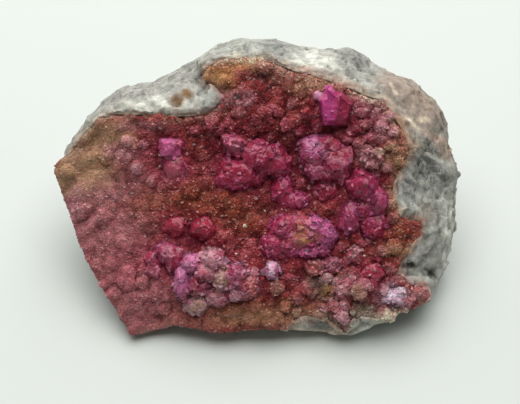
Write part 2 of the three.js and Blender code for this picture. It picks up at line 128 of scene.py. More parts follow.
# Colour, u, v, half width, half height, strength of each soft-edged stain on the druse, and how coarse the
# druse is there.
DRUSE_STAINS = (
    ("dusty_rose", -31, -5, 12, 16, 0.9, 0.5),
    ("dusty_rose", -24, -24, 13, 8, 0.8, 0.5),
    ("dusty_rose", -36, -4, 4, 8, 0.6, 0.4),
    ("brick", -22, 9, 13, 5, 0.5, 1.0),
    ("brick", 2, 15, 15, 8, 0.8, 1.1),
    ("rust", -9, -3.5, 14, 4.6, 0.8, 0.8),
    ("rust", -22, -2.5, 9, 3, 0.5, 0.7),
    ("rust", 26, -10, 5, 5, 0.8, 1.1),
    ("wine", 5, 9, 6, 4, 0.6, 1.0),
    ("wine", -10, 11, 5, 4, 0.4, 1.0),
    # Painted shade in the hollow under the raspberry group.
    ("wine", 3, -3.5, 6, 2.4, 0.7, 0.9),
    ("wine", 15, -7.5, 3.5, 4, 0.6, 1.0),
    # Painted shade in the hollow beside the saddle group.
    ("wine", 17, 2.4, 2.4, 2, 0.8, 1.0),
    ("rust", 0, -25, 16, 3.4, 0.8, 0.7),
    ("tan", -4, -26.4, 10, 1.6, 0.5, 0.6),
    ("tan", -34.6, 4.6, 6.4, 5.6, 0.95, 0.25),
    ("tan", -31.4, 10.8, 6.0, 3.6, 0.95, 0.25),
    ("tan", -39.6, 2.6, 3, 4, 0.9, 0.2),
    ("blush", -30, -1.6, 5, 1.4, 0.4, 0.5),
    ("blush", -37.6, -3, 1.6, 4.4, 0.45, 0.4),
    ("dusk", -27, -16, 4, 5, 0.4, 0.5),
    ("ochre", -9, 22.6, 5.2, 3.6, 0.95, 0.35),
    ("ochre", -3, 25, 4, 1.6, 0.8, 0.4),
    ("sand", 3, 23.6, 5, 2.4, 0.5, 0.9),
    ("blush", -4, 18, 3.2, 1.6, 0.55, 1.4),
    ("blush", -28, 7.4, 4, 1.7, 0.6, 1.3),
    ("blush", -23, 12.4, 6, 1.2, 0.4, 1.0),
    ("tan", 11, 20.4, 5, 1.8, 0.7, 1.0),
    ("dusk", 20, 11, 5.6, 5.6, 0.6, 1.2),
    ("blush", 20, 17, 4.6, 2.0, 0.6, 1.3),
    ("blush", 24.6, 13.4, 3.2, 3.6, 0.6, 1.3),
    ("tan", 2, -24.8, 15, 2.2, 0.4, 0.7),
    ("tan", 26.6, 6.6, 2.4, 3.6, 0.75, 1.2),
    ("sand", 22.4, 6, 3.2, 3.0, 0.4, 1.3),
    ("tan", 25.4, -4, 1.6, 4.4, 0.5, 1.0),
    ("blush", 19, -19.8, 3.2, 2.4, 0.6, 1.7),
    ("blush", 15, -22.4, 2, 1.6, 0.6, 1.6),
    ("moss", 13.4, -19.4, 4.6, 3.0, 0.75, 1.2),
    ("moss", 21.0, -24.6, 2.6, 2.4, 0.85, 1.0),
    ("slate", 12.8, -26.4, 2.6, 1.8, 0.8, 0.8),
    ("chalk", 21.4, -27.6, 4.0, 2.0, 0.9, 0.8),
    ("ochre", 13.8, -20.6, 1.6, 1.4, 0.7, 1.3),
    ("tan", 28, -12.2, 4.4, 1.4, 0.6, 1.0),
    ("frost", 26.8, -21.6, 3.4, 2.2, 0.85, 1.4),
    ("dusty_rose", 32, -22, 3.4, 1.6, 0.8, 0.6),
    ("cream", 25.4, -25.4, 3, 1.2, 0.8, 1.3),
    # Painted shade in a small hole in the druse.
    ("coal", -4.6, 18.4, 0.7, 0.6, 0.95, 0.3),
)

# The same for the bare rock. The last number is how mottled the stone is there.
ROCK_STAINS = (
    ("ash", 0, 33, 20, 8, 0.7, 0.5),
    ("slate", 4, 27.6, 4.4, 2.2, 0.75, 1.0),
    ("chalk", 11, 26.4, 6.4, 3.4, 0.95, 0.3),
    ("slate", 18.6, 26.4, 3, 3, 0.65, 1.0),
    ("ash", 15.6, 22.4, 4, 2.2, 0.5, 0.9),
    ("stone", -28, 19.5, 9, 4, 0.6, 0.7),
    ("stone", -16, 23.6, 7, 2.2, 0.5, 0.7),
    ("chalk", -20.6, 16.2, 7.4, 2.6, 0.95, 0.15),
    ("ash", -10.6, 17.6, 3.4, 2.6, 0.8, 0.2),
    ("umber", -17.0, 17.6, 1.35, 1.3, 1.0, 0.1),
    ("umber", -14.9, 18.8, 1.3, 1.15, 1.0, 0.1),
    ("taupe", 33, 17, 8.5, 7, 0.95, 0.1),
    ("taupe", 28, 22, 4, 3.4, 0.8, 0.15),
    ("sand", 37, 8, 4.4, 2.4, 0.6, 0.8),
    ("cream", 33.2, 13.8, 1.6, 0.7, 0.8, 0.2),
    ("slate", 33, 6.4, 3.4, 2.6, 0.9, 1.0),
    ("slate", 35, 2.8, 3.4, 1.8, 0.9, 1.0),
    ("slate", 30.4, 1.6, 3, 1.8, 0.85, 1.0),
    ("ash", 30.6, -2.4, 3.4, 1.8, 0.7, 1.0),
    ("taupe", 33.5, -5, 3, 2, 0.5, 0.6),
    ("ash", 38.2, -6, 2.6, 9, 0.8, 0.5),
    ("chalk", 38.4, -7, 1.7, 7, 0.85, 0.4),
    ("stone", 32.4, -17, 5.6, 4.6, 0.95, 0.1),
    ("ash", 32.4, -17, 5.0, 4.0, 0.6, 0.05),
    ("chalk", 38.8, -16, 1.2, 6, 0.5, 0.3),
    # Painted shade in the pits, in these three stains.
    ("coal", 28.8, -15.3, 2.1, 0.6, 0.95, 0.1),
    ("coal", 34.9, -17.2, 0.9, 0.9, 0.95, 0.1),
    ("coal", 31.0, -19.6, 0.5, 0.5, 0.95, 0.1),
    ("cream", 4, -29.2, 15, 1.2, 0.8, 0.2),
    ("chalk", 21.8, -27.6, 4.4, 2.8, 1.0, 0.15),
    ("slate", 11.6, -27.0, 3.6, 1.6, 0.85, 0.8),
    ("umber", -20, -29, 9, 2, 0.5, 0.4),
)

# Scratches and streaks on the rock: colour, u and v of both ends, half width and strength.
SCRATCHES = (
    ("cream", 26.2, 21.2, 27.4, 19.0, 0.3, 0.9),
    ("cream", 29.3, 13.9, 31.8, 11.8, 0.35, 0.9),
    ("sand", 31.6, 20.0, 34.2, 16.2, 0.25, 0.4),
    ("sand", 33.0, 11.4, 39.0, 9.2, 0.5, 0.6),
    ("cream", 31.0, 9.6, 34.6, 6.4, 0.3, 0.6),
    ("chalk", 30.6, 7.4, 36.4, 1.6, 0.3, 0.7),
    ("chalk", 33.6, 7.0, 38.6, 4.6, 0.35, 0.6),
    ("chalk", 29.4, 3.0, 33.4, -1.0, 0.35, 0.7),
    ("chalk", 31.4, -1.4, 35.6, -3.4, 0.4, 0.7),
    ("chalk", 29.0, -1.6, 31.6, -4.4, 0.35, 0.7),
    ("chalk", 34.0, 0.8, 38.2, -2.4, 0.35, 0.6),
    ("slate", 31.8, 5.2, 35.0, 3.4, 0.6, 0.8),
    ("slate", 34.4, 4.0, 37.0, 2.0, 0.6, 0.8),
    ("slate", 30.4, 1.2, 33.0, -0.2, 0.6, 0.8),
    ("slate", 35.6, -1.4, 36.4, -9.6, 0.3, 0.6),
    ("chalk", 36.2, -11.2, 38.2, -15.8, 0.35, 0.6),
    # Painted shade in the pits, in these two streaks.
    ("coal", 33.3, -16.2, 35.8, -18.0, 0.3, 0.95),
    ("coal", 26.6, -14.9, 30.4, -15.7, 0.4, 0.95),
    ("ash", 27.0, -14.0, 31.0, -14.7, 0.3, 0.8),
    ("chalk", -38.0, 14.4, -30.0, 20.6, 0.3, 0.4),
    ("slate", -34.0, 19.4, -24.0, 24.6, 0.3, 0.5),
    ("slate", -26.0, 22.4, -16.0, 25.4, 0.25, 0.4),
    ("slate", -2.0, 29.6, 8.0, 29.0, 0.4, 0.5),
    ("slate", 14.0, 29.0, 19.4, 27.0, 0.5, 0.6),
)

# What lies along the edge of the druse, on it and on the rock. The last number is how wide it reaches.
EDGE_STAINS = (
    ("cream", -33, 14, 8, 4, 0.9, 0.8),
    ("umber", -22, 14.6, 5.4, 2, 0.8, 0.7),
    ("sand", -13, 14.8, 4, 2.4, 0.9, 1.2),
    ("blush", -7.6, 17, 3, 3, 0.7, 1.4),
    ("cream", -3, 26.6, 8, 2.6, 0.9, 0.8),
    ("sand", 14, 21.6, 8, 3.4, 0.9, 1.9),
    ("cream", 23, 18.2, 5, 3.0, 0.7, 1.6),
    ("tan", 28.6, 10, 4, 5, 0.8, 1.8),
    ("ochre", 28, 4, 3, 3, 0.5, 1.0),
    ("tan", 27, -2.4, 3, 4, 0.8, 1.0),
    ("rust", 32, -8, 3, 3, 0.9, 0.9),
    ("tan", 28.6, -13, 3, 3, 0.7, 0.8),
    ("dusty_rose", 28.6, -18, 3, 3, 0.8, 1.2),
    ("dusty_rose", 33, -20.6, 3, 2, 0.8, 1.4),
    ("cream", 27, -26, 5, 2, 0.9, 1.3),
    ("chalk", 20, -27.4, 4, 2.4, 0.9, 1.0),
)

# The grown crystal groups. For each, the colour of its thin edges, how grainy it is, and its lobes: u, v,
# half width, half height, rise, number of sides, share of its width that stays flat on top, colour, and the
# direction of its grain in degrees.
GROWTHS = {
    "magenta_prism": (
        "orchid",
        0.0,
        (
            (13.9, 16.2, 1.95, 3.8, 3.6, 5, 0.84, "magenta", 92),
            (16.0, 15.7, 2.0, 3.4, 2.9, 5, 0.7, "raspberry", 88),
            (11.6, 18.6, 0.9, 1.0, 1.1, 5, 0.85, "lilac", 60),
        ),
    ),
    "saddle_cluster": (
        "lilac",
        0.1,
        (
            (10.7, 7.5, 2.7, 3.0, 3.9, 5, 0.64, "orchid", 15),
            (14.2, 8.5, 2.2, 2.1, 3.1, 6, 0.6, "crimson", 50),
            (15.2, 5.4, 2.9, 3.2, 3.6, 6, 0.6, "raspberry", 110),
            (12.2, 3.6, 3.0, 2.1, 3.1, 5, 0.7, "plum", 165),
            (16.4, 3.2, 1.9, 2.0, 2.6, 6, 0.6, "plum", 70),
            (13.4, -0.4, 2.3, 2.0, 2.0, 7, 0.5, "crimson", 90),
        ),
    ),
    "raspberry_cluster": (
        "orchid",
        0.1,
        (
            (-5.2, 8.8, 2.4, 1.9, 2.6, 6, 0.5, "dusk", 150),
            (-0.8, 6.2, 4.1, 3.1, 3.5, 7, 0.55, "raspberry", 165),
            (-4.2, 2.8, 4.0, 2.7, 3.0, 7, 0.55, "crimson", 172),
            (3.8, 4.8, 2.4, 3.0, 2.6, 6, 0.5, "raspberry", 165),
            (4.6, -0.4, 2.2, 2.6, 2.4, 6, 0.5, "raspberry", 125),
            (7.2, -2.8, 2.2, 1.9, 2.1, 6, 0.5, "plum", 130),
        ),
    ),
    "right_cluster": (
        "orchid",
        0.15,
        (
            (20.6, -0.1, 3.1, 2.8, 3.5, 7, 0.5, "raspberry", 90),
            (23.6, -2.6, 1.9, 2.8, 2.6, 6, 0.5, "plum", 100),
            (17.9, -6.0, 1.9, 2.9, 2.6, 6, 0.5, "plum", 80),
            (20.4, -4.6, 1.8, 1.6, 1.8, 6, 0.5, "crimson", 0),
            (23.0, -7.8, 2.5, 2.0, 2.2, 6, 0.5, "crimson", 40),
        ),
    ),
    "tan_ball": (
        "blush",
        0.9,
        (
            (21.4, 7.2, 1.3, 1.1, 2.0, 6, 0.5, "dusty_rose", 0),
            (23.4, 6.6, 1.2, 1.4, 2.1, 6, 0.5, "sand", 0),
            (22.6, 4.8, 1.4, 1.0, 1.9, 6, 0.5, "dusty_rose", 0),
            (21.0, 5.4, 1.0, 1.2, 1.8, 6, 0.5, "dusty_rose", 0),
            (22.2, 6.1, 1.0, 0.9, 1.5, 6, 0.5, "raspberry", 0),
        ),
    ),
    "left_bead": (
        "orchid",
        0.03,
        (
            (-18.0, 8.0, 2.0, 2.1, 2.3, 7, 0.5, "orchid", 100),
            (-16.6, 8.2, 1.4, 1.5, 1.8, 7, 0.5, "raspberry", 100),
            (-17.0, 4.2, 2.3, 2.4, 1.8, 7, 0.5, "dusk", 100),
        ),
    ),
    "low_left_cluster": (
        "lilac",
        0.05,
        (
            (-18.5, -12.8, 2.4, 2.2, 2.6, 6, 0.5, "plum", 60),
            (-21.2, -14.4, 1.7, 1.9, 2.0, 6, 0.5, "raspberry", 70),
            (-21.0, -16.8, 1.5, 1.5, 1.8, 5, 0.6, "dusk", 80),
            (-17.2, -14.6, 1.8, 2.5, 2.2, 6, 0.5, "raspberry", 110),
        ),
    ),
    "crimson_beads": (
        "dusk",
        0.03,
        (
            (-16.9, -7.7, 2.3, 1.9, 2.0, 7, 0.5, "crimson", 10),
            (-11.2, -8.3, 2.3, 2.2, 2.6, 7, 0.5, "crimson", 30),
        ),
    ),
    "lilac_cluster": (
        "lilac",
        0.35,
        (
            (-15.5, -19.0, 1.5, 3.1, 2.9, 5, 0.6, "orchid", 80),
            (-13.8, -15.2, 2.0, 1.9, 3.0, 6, 0.5, "orchid", 50),
            (-9.6, -14.2, 2.5, 2.2, 3.4, 6, 0.5, "blush", 30),
            (-10.9, -16.6, 2.3, 1.6, 3.0, 6, 0.5, "dusk", 10),
            (-11.9, -19.2, 2.2, 1.8, 1.9, 7, 0.5, "crimson", 0),
            (-7.7, -18.0, 1.6, 2.2, 2.0, 6, 0.5, "sand", 120),
            (-4.6, -17.6, 2.1, 2.7, 3.0, 6, 0.5, "plum", 60),
            (-2.2, -19.2, 2.1, 2.8, 2.2, 6, 0.5, "coral", 100),
            (-4.6, -21.2, 1.8, 1.4, 2.1, 6, 0.5, "blush", 20),
            (-12.8, -23.4, 2.1, 2.0, 2.0, 5, 0.6, "sand", 60),
            (-8.6, -21.8, 2.4, 1.6, 1.5, 6, 0.5, "dusty_rose", 0),
        ),
    ),
    "gilded_cluster": (
        "orchid",
        0.3,
        (
            (4.3, -8.2, 2.6, 2.3, 2.9, 6, 0.5, "raspberry", 40),
            (8.0, -7.4, 2.3, 2.1, 3.5, 6, 0.5, "coral", 60),
            (10.7, -7.8, 2.0, 2.0, 3.4, 5, 0.6, "orchid", 130),
            (13.1, -9.6, 1.9, 2.6, 3.2, 5, 0.6, "orchid", 80),
            (10.6, -9.8, 2.0, 1.5, 3.3, 6, 0.5, "coral", 0),
            (9.2, -12.6, 2.7, 1.1, 2.6, 5, 0.6, "orchid", 20),
            (12.0, -12.2, 2.0, 1.6, 2.6, 6, 0.5, "plum", 30),
            (2.6, -11.8, 2.2, 2.3, 2.4, 6, 0.5, "raspberry", 70),
            (5.6, -11.9, 2.0, 1.9, 2.0, 6, 0.5, "crimson", 20),
            (8.8, -10.0, 2.9, 2.2, 3.5, 7, 0.6, "ochre", 0),
            (8.6, -8.4, 1.5, 1.1, 3.8, 6, 0.5, "ochre", 0),
            (6.9, -10.4, 0.8, 0.6, 2.5, 6, 0.5, "blush", 0),
            (5.8, -9.4, 1.7, 1.5, 1.9, 6, 0.5, "raspberry", 0),
        ),
    ),
    "lilac_star": (
        "frost",
        0.2,
        ((2.4, -16.4, 1.1, 2.0, 2.3, 5, 0.5, "lilac", 90), (2.4, -16.6, 1.9, 1.0, 2.0, 5, 0.5, "orchid", 0)),
    ),
    "coral_ball": (
        "blush",
        0.7,
        (
            (11.0, -16.0, 1.9, 1.8, 2.0, 7, 0.5, "coral", 0),
            (14.0, -15.6, 1.8, 1.5, 1.7, 5, 0.6, "plum", 30),
        ),
    ),
    "amber_ball": ("blush", 0.9, ((16.8, -20.0, 2.0, 1.8, 1.9, 7, 0.5, "dusty_rose", 0),)),
    "rim_crystals": (
        "blush",
        0.7,
        (
            (16.3, -25.2, 1.5, 1.7, 2.0, 5, 0.6, "blush", 70),
            (14.6, -23.4, 1.2, 1.0, 1.6, 6, 0.5, "coral", 0),
        ),
    ),
    "frosted_patch": (
        "frost",
        0.8,
        (
            (26.6, -21.4, 2.4, 0.9, 1.3, 5, 0.5, "frost", 0),
            (27.4, -22.0, 1.1, 1.4, 1.4, 5, 0.5, "lilac", 60),
            (28.2, -20.9, 1.2, 0.8, 1.1, 5, 0.5, "frost", 30),
            (25.2, -22.2, 1.0, 0.7, 1.0, 5, 0.5, "lilac", 30),
        ),
    ),
    "low_right_bead": ("blush", 0.2, ((22.3, -17.0, 2.1, 1.8, 1.9, 7, 0.5, "crimson", 0),)),
    "mauve_knot": (
        "blush",
        0.6,
        (
            (18.8, -13.6, 1.6, 1.4, 1.6, 6, 0.5, "dusk", 0),
            (19.4, -12.4, 1.2, 1.0, 1.4, 6, 0.5, "blush", 0),
        ),
    ),
}

# Balls of small crystals that stand out of the druse: u, v, radius and colour.
DRUSE_BALLS = (
    (13.3, -17.9, 1.1, "blush"),
    (15.2, -18.6, 0.9, "blush"),
    (14.8, -20.6, 1.1, "dusty_rose"),
    (19.6, -20.6, 1.5, "sand"),
    (21.4, -19.4, 1.0, "blush"),
    (22.4, -18.6, 1.0, "raspberry"),
    (14.8, -22.5, 1.0, "blush"),
    (12.8, -24.0, 0.8, "blush"),
    (16.9, -23.4, 1.2, "blush"),
    (18.4, -24.4, 0.9, "cream"),
    (20.3, -11.2, 1.0, "dusk"),
    (22.0, -10.2, 0.8, "blush"),
    (24.6, -12.6, 1.1, "dusty_rose"),
    (25.8, -16.2, 1.2, "dusty_rose"),
    (23.6, -14.0, 0.9, "dusk"),
    (24.4, -21.0, 1.0, "blush"),
    (29.6, -22.4, 1.2, "dusty_rose"),
    (25.6, -25.0, 1.0, "cream"),
    (29.0, -24.4, 0.9, "cream"),
    (3.2, -19.8, 1.4, "sand"),
    (7.6, -22.2, 1.2, "dusty_rose"),
    (7.3, -25.0, 0.9, "sand"),
    (5.4, -17.6, 0.8, "dusk"),
    (25.6, 14.0, 1.1, "blush"),
    (24.2, 12.0, 1.0, "blush"),
    (26.6, 11.0, 1.0, "blush"),
    (23.4, 15.6, 1.0, "blush"),
    (21.4, 12.8, 1.0, "dusty_rose"),
    (26.4, 8.0, 1.2, "tan"),
    (27.6, 5.4, 1.1, "tan"),
    (25.0, 4.2, 0.9, "blush"),
    (20.0, 9.0, 1.3, "dusty_rose"),
    (21.8, 9.8, 1.0, "dusk"),
    (26.8, -3.2, 1.0, "sand"),
    (26.4, -6.0, 1.0, "dusty_rose"),
    (20.4, 15.0, 1.1, "dusty_rose"),
    (18.6, 11.6, 1.2, "dusk"),
    (17.4, 9.6, 1.1, "dusk"),
    (11.6, 12.6, 1.3, "dusk"),
    (9.4, 14.8, 1.1, "dusk"),
    (8.2, 11.6, 1.0, "dusk"),
    (5.6, 13.0, 1.3, "dusk"),
    (6.6, 17.0, 1.2, "dusty_rose"),
    (2.6, 15.6, 1.2, "dusk"),
    (-1.0, 13.8, 1.2, "dusk"),
    (-4.6, 15.2, 1.2, "dusty_rose"),
    (-6.4, 13.2, 1.1, "dusk"),
    (-9.6, 12.8, 1.2, "dusk"),
    (-7.8, 11.4, 1.0, "dusk"),
    (-13.6, 11.4, 1.1, "dusk"),
    (-21.6, 1.4, 1.1, "dusty_rose"),
    (-24.6, 4.0, 1.0, "blush"),
    (-23.2, 8.8, 1.1, "blush"),
    (-26.6, 9.4, 1.1, "blush"),
    (9.0, 4.0, 1.2, "dusk"),
    (8.6, 0.8, 1.1, "dusk"),
    (17.0, -15.0, 1.0, "dusk"),
    (16.2, -11.8, 0.9, "dusk"),
)

# Loose bright grains on the druse: u, v, size and turn in degrees.
BRIGHT_GRAINS = (
    (-3.0, -7.6, 0.55, 20),
    (18.6, 2.6, 0.5, -50),
    (19.8, -2.4, 0.3, -40),
    (-20.2, 4.4, 0.3, 10),
    (-31.4, 8.6, 0.3, 30),
    (1.0, -4.6, 0.25, 0),
    (-4.8, -13.2, 0.35, 80),
    (20.8, -13.6, 0.35, -40),
)

# Every colour on the specimen: its name, its sRGB value and what it is.
PALETTE_DEFAULTS = (
    ("magenta","#b93e80", "Clear cobalt magenta of the best crystals"),
    ("orchid", "#b85a8a", "Paler magenta on crystal edges"),
    ("lilac", "#c288a2", "Frosted lilac of thin edges"),
    ("frost", "#d8bccb", "Near-white frosting"),
    ("plum", "#963656", "Purple-pink crystal bodies"),
    ("raspberry", "#962844", "Deep pink crystal bodies"),
    ("crimson", "#98263e", "Red-pink crystal bodies"),
    ("dusk", "#a44c5c", "Dull pink crystals"),
    ("coral", "#ac5048", "Orange-pink crystals"),
    # Wine is also laid as painted shade in the hollows under the crystal groups and at their feet.
    ("wine", "#58101a", "Darkest red of the hollows"),
    ("brick", "#92383a", "Red druse"),
    ("dusty_rose", "#ac6c70", "Dull pink druse"),
    ("rust", "#8a442c", "Iron-brown druse"),
    ("ochre", "#ac7a4a", "Orange-tan iron stain"),
    ("tan", "#a88264", "Brown-tan sugary druse"),
    ("sand", "#b08a76", "Pinkish tan"),
    ("blush", "#bd848c", "Pale pink druse"),
    ("moss", "#7c7866", "Greenish grey grit"),
    ("chalk", "#cbcac1", "White rock"),
    ("cream", "#d4c2ac", "Cream grit"),
    ("ash", "#a9aaa2", "Light grey rock"),
    ("stone", "#94918c", "Mid grey rock"),
    ("slate", "#5e5f5d", "Dark grey rock"),
    ("taupe", "#9a8a7e", "Brown-grey smooth rock"),
    ("umber", "#7a5c3e", "Brown stain on white rock"),
    # Painted shade: near black laid where the rock and the druse have pits.
    ("coal", "#322c2a", "Black of the pits"),
)


def linear(hex_colour):
    """The linear colour of an sRGB hex value."""
    parts = [int(hex_colour[i : i + 2], 16) / 255 for i in (1, 3, 5)]
    return tuple(p / 12.92 if p <= 0.04045 else ((p + 0.055) / 1.055) ** 2.4 for p in parts)


def per_mm(size):
    """The texture scale at which one feature spans this many millimetres."""
    return 1 / (size * MM)


def on_face(points):
    """Millimetre points as (u, v, w) on the crystal-lined face."""
    return (points - FACE_DATUM) @ FACE_AXES.T


def off_face(spots):
    """(u, v, w) on the crystal-lined face as millimetre points."""
    return FACE_DATUM + np.asarray(spots) @ FACE_AXES


def ease(low, high, values):
    """0 at low, 1 at high, smooth between and level beyond. Low may be the larger of the two."""
    part = np.clip((values - low) / (high - low), 0, 1)
    return part * part * (3 - 2 * part)


def lumps(points, size, seed, octaves=4):
    """Natural unevenness, about -1 to 1, with its largest lumps this many millimetres across. Each seed
    looks at another stretch of the noise."""
    shift = np.array((17.3, -5.7, 11.9)) * seed
    return np.array([noise.fractal(p, 1.0, 2.0, octaves) for p in points / size + shift])


def knobs(points, size, seed):
    """Rounded knobs set side by side: their height, 1 at each top and 0 in the valleys, and a number
    between -1 and 1 that is the same all over one knob."""
    shift = np.array((-9.1, 13.3, 4.7)) * seed
    found = [noise.voronoi(p) for p in points / size + shift]
    nearest = np.array([gaps[0] for gaps, _ in found])
    own = np.array([noise.noise(centres[0] * 7.31) for _, centres in found])
    reach = 0.75
    return np.clip(1 - (nearest / reach) ** 2, 0, 1), np.clip(own * 2, -1, 1)


def in_mm(look):
    """A look's values by name, with its lengths in millimetres."""
    values = {}
    for name, field in look.bl_rna.properties.items():
        if name not in ("rna_type", "name"):
            values[name] = getattr(look, name) / (MM if field.unit == "LENGTH" else 1)
    return SimpleNamespace(**values)


def palette():
    """The specimen's colours as linear values, by name."""
    look = bpy.context.scene.specimen_palette
    return {name: np.array(getattr(look, name)) for name, *_ in PALETTE_DEFAULTS}


def stained(points, ground, stains, seed):
    """The ground with each stain laid over it, its edge broken up by the grain. Columns after the three of
    the colour are stained with the numbers that follow a stain's strength."""
    colours = palette()
    spots = on_face(points)
    wander = np.column_stack([lumps(points, 4.5, seed + k) for k in range(2)])
    grain = np.column_stack([lumps(points, 1.1, seed + k, 2) for k in (2, 3)])
    painted = ground.copy()
    most_loose, steepness = 1.5, 1.7
    for name, at_u, at_v, wide, high, strength, *others in stains:
        loose = min(most_loose, 0.5 * min(wide, high))
        at = spots[:, :2] + loose * wander + 0.35 * loose * grain
        reach = ((at[:, 0] - at_u) / wide) ** 2 + ((at[:, 1] - at_v) / high) ** 2
        part = (strength * np.exp(-(reach**steepness)))[:, None]
        painted += part * (np.append(colours[name], others) - painted)
    return painted


def lay(tints, part, colour):
    """Blends this part of a colour, from 0 to 1, over the tint of each point."""
    tints[:, :3] += part[:, None] * (colour - tints[:, :3])


def mesh_arrays(mesh):
    """A mesh's points in millimetres and its triangles."""
    mesh.calc_loop_triangles()
    points = np.zeros(len(mesh.vertices) * 3)
    mesh.vertices.foreach_get("co", points)
    corners = np.zeros(len(mesh.loop_triangles) * 3, np.int32)
    mesh.loop_triangles.foreach_get("vertices", corners)
    return points.reshape(-1, 3) / MM, corners.reshape(-1, 3)


def surface_tree(points, triangles):
    """A tree that finds places on a surface."""
    return BVHTree.FromPolygons(points.tolist(), triangles.tolist())


def distances(tree, points):
    """How far each point is from the surface in a tree."""
    return np.array([tree.find_nearest(Vector(p))[3] for p in points])


def covered(tree, points):
    """Whether the surface in a tree lies over each point, seen from in front of the face."""
    return np.array([tree.ray_cast(Vector(p), OUT, LINING_DEPTH)[0] is not None for p in points])


def landing(tree, u, v):
    """Where the surface in a tree lies behind this place in front of the face."""
    return tree.ray_cast(Vector(off_face((u, v, FACE_DEPTH))), -OUT)[0]


def vertex_normals(mesh):
    """The outward direction at each vertex."""
    normals = np.zeros(len(mesh.vertices) * 3)
    mesh.vertex_normals.foreach_get("vector", normals)
    return normals.reshape(-1, 3)


def faces_out(points, triangles, least):
    """Whether each triangle faces out of the face by at least this much, where 1 is straight out."""
    corners = points[triangles]
    across = np.cross(corners[:, 1] - corners[:, 0], corners[:, 2] - corners[:, 0])
    across /= np.maximum(np.linalg.norm(across, axis=1), 1e-12)[:, None]
    return across @ FACE_AXES[2] > least


def welded(node):
    """A copy of a CAD solid's mesh with its split corners joined."""
    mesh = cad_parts[node].data.copy()
    shell = bmesh.new()
    shell.from_mesh(mesh)
    bmesh.ops.remove_doubles(shell, verts=shell.verts, dist=1e-6)
    shell.to_mesh(mesh)
    shell.free()
    return mesh


def rebuilt(mesh, rounding, pitch):
    """A closed mesh with its facets rounded, its parts grown into one and its skin at an even pitch."""
    draft = bpy.data.objects.new("draft", mesh)
    bpy.context.scene.collection.objects.link(draft)
    if rounding:
        soften = draft.modifiers.new("soften", "SUBSURF")
        soften.levels = rounding
    rebuild = draft.modifiers.new("rebuild", "REMESH")
    rebuild.mode = "VOXEL"
    rebuild.voxel_size = pitch * MM
    graph = bpy.context.evaluated_depsgraph_get()
    fine = bpy.data.meshes.new_from_object(draft.evaluated_get(graph))
    bpy.data.objects.remove(draft)
    return fine


def edge_ends(mesh):
    """The two vertex numbers of every edge."""
    ends = np.zeros(len(mesh.edges) * 2, np.int32)
    mesh.edges.foreach_get("vertices", ends)
    return ends.reshape(-1, 2)


def near_mean(values, ends):
    """Each vertex's mean over its neighbours along the edges."""
    count = np.bincount(ends.ravel(), minlength=len(values))
    total = np.column_stack(
        [
            np.bincount(ends[:, 0], column[ends[:, 1]], len(values))
            + np.bincount(ends[:, 1], column[ends[:, 0]], len(values))
            for column in values.T
        ]
    )
    return total / np.maximum(count, 1)[:, None]


def ridges(points, outward, ends, passes=2):
    """How far each vertex stands above its surroundings, in millimetres: positive on ridges and
    negative in cracks."""
    around = points
    for _ in range(passes):
        around = near_mean(around, ends)
    return ((points - around) * outward).sum(axis=1)


def faceted(points, outward, size, seed, tip, step, draws):
    """Cuts a surface into flat facets about this many millimetres across, as a crust of crystals has.
    Each facet is tipped at random by tip and raised or sunk by up to step. Returns how far each vertex
    moves along its outward direction."""
    shift = np.array((7.9, 3.1, -13.7)) * seed
    centres = np.array([noise.voronoi(p)[1][0] for p in points / size + shift])
    _, facet = np.unique(np.round(centres, 3), axis=0, return_inverse=True)
    facet = facet.ravel()
    count = np.bincount(facet)
    means = [
        np.column_stack([np.bincount(facet, part[:, k]) for k in range(3)]) / count[:, None]
        for part in (points, outward)
    ]
    plane = means[1] + draws.normal(0, tip, (len(count), 3))
    plane /= np.linalg.norm(plane, axis=1)[:, None]
    level = (means[0] * plane).sum(axis=1) + draws.uniform(-step, step, len(count))
    plane, level = plane[facet], level[facet]
    least_facing, most_move = 0.45, 0.3 * size
    facing = np.maximum((outward * plane).sum(axis=1), least_facing)
    return np.clip((level - (points * plane).sum(axis=1)) / facing, -most_move, most_move)


def steps(points, size, seed):
    """Growth steps about this many millimetres apart: a height that climbs from 0 to 1 and drops off
    sharply, along a direction that wanders, and fades in and out over the surface."""
    bend = lumps(points, 5.0, seed, 2)
    angle = 1.5 * bend + seed
    along = points[:, 0] * np.cos(angle) + points[:, 1] * np.sin(angle) + 0.7 * points[:, 2]
    climb = (along / size + 0.6 * lumps(points, 1.6, seed + 1, 2)) % 1
    long_side = 0.75
    tooth = np.minimum(climb / long_side, (1 - climb) / (1 - long_side))
    return tooth * ease(-0.2, 0.3, lumps(points, 3.0, seed + 2, 2))


def set_points(mesh, points):
    """Moves a mesh's vertices to these points, which are in millimetres."""
    mesh.vertices.foreach_set("co", (points * MM).ravel())
    mesh.update()


def paint(mesh, colours):
    """Stores a colour for each vertex. A fourth column is kept as the alpha."""
    if colours.shape[1] == 3:
        colours = np.column_stack((colours, np.ones(len(colours))))
    layer = mesh.color_attributes.new(TINT, "FLOAT_COLOR", "POINT")
    layer.data.foreach_set("color", np.clip(colours, 0, 1).astype(np.float32).ravel())


def set_piece(name, mesh, finish, nodes):
    """Puts a finished mesh in the scene as a piece that rides on the rock."""
    mesh.materials.clear()
    mesh.materials.append(finish)
    piece = bpy.data.objects.new(name, mesh)
    bpy.context.scene.collection.objects.link(piece)
    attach(piece, "root")
    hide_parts(*nodes)


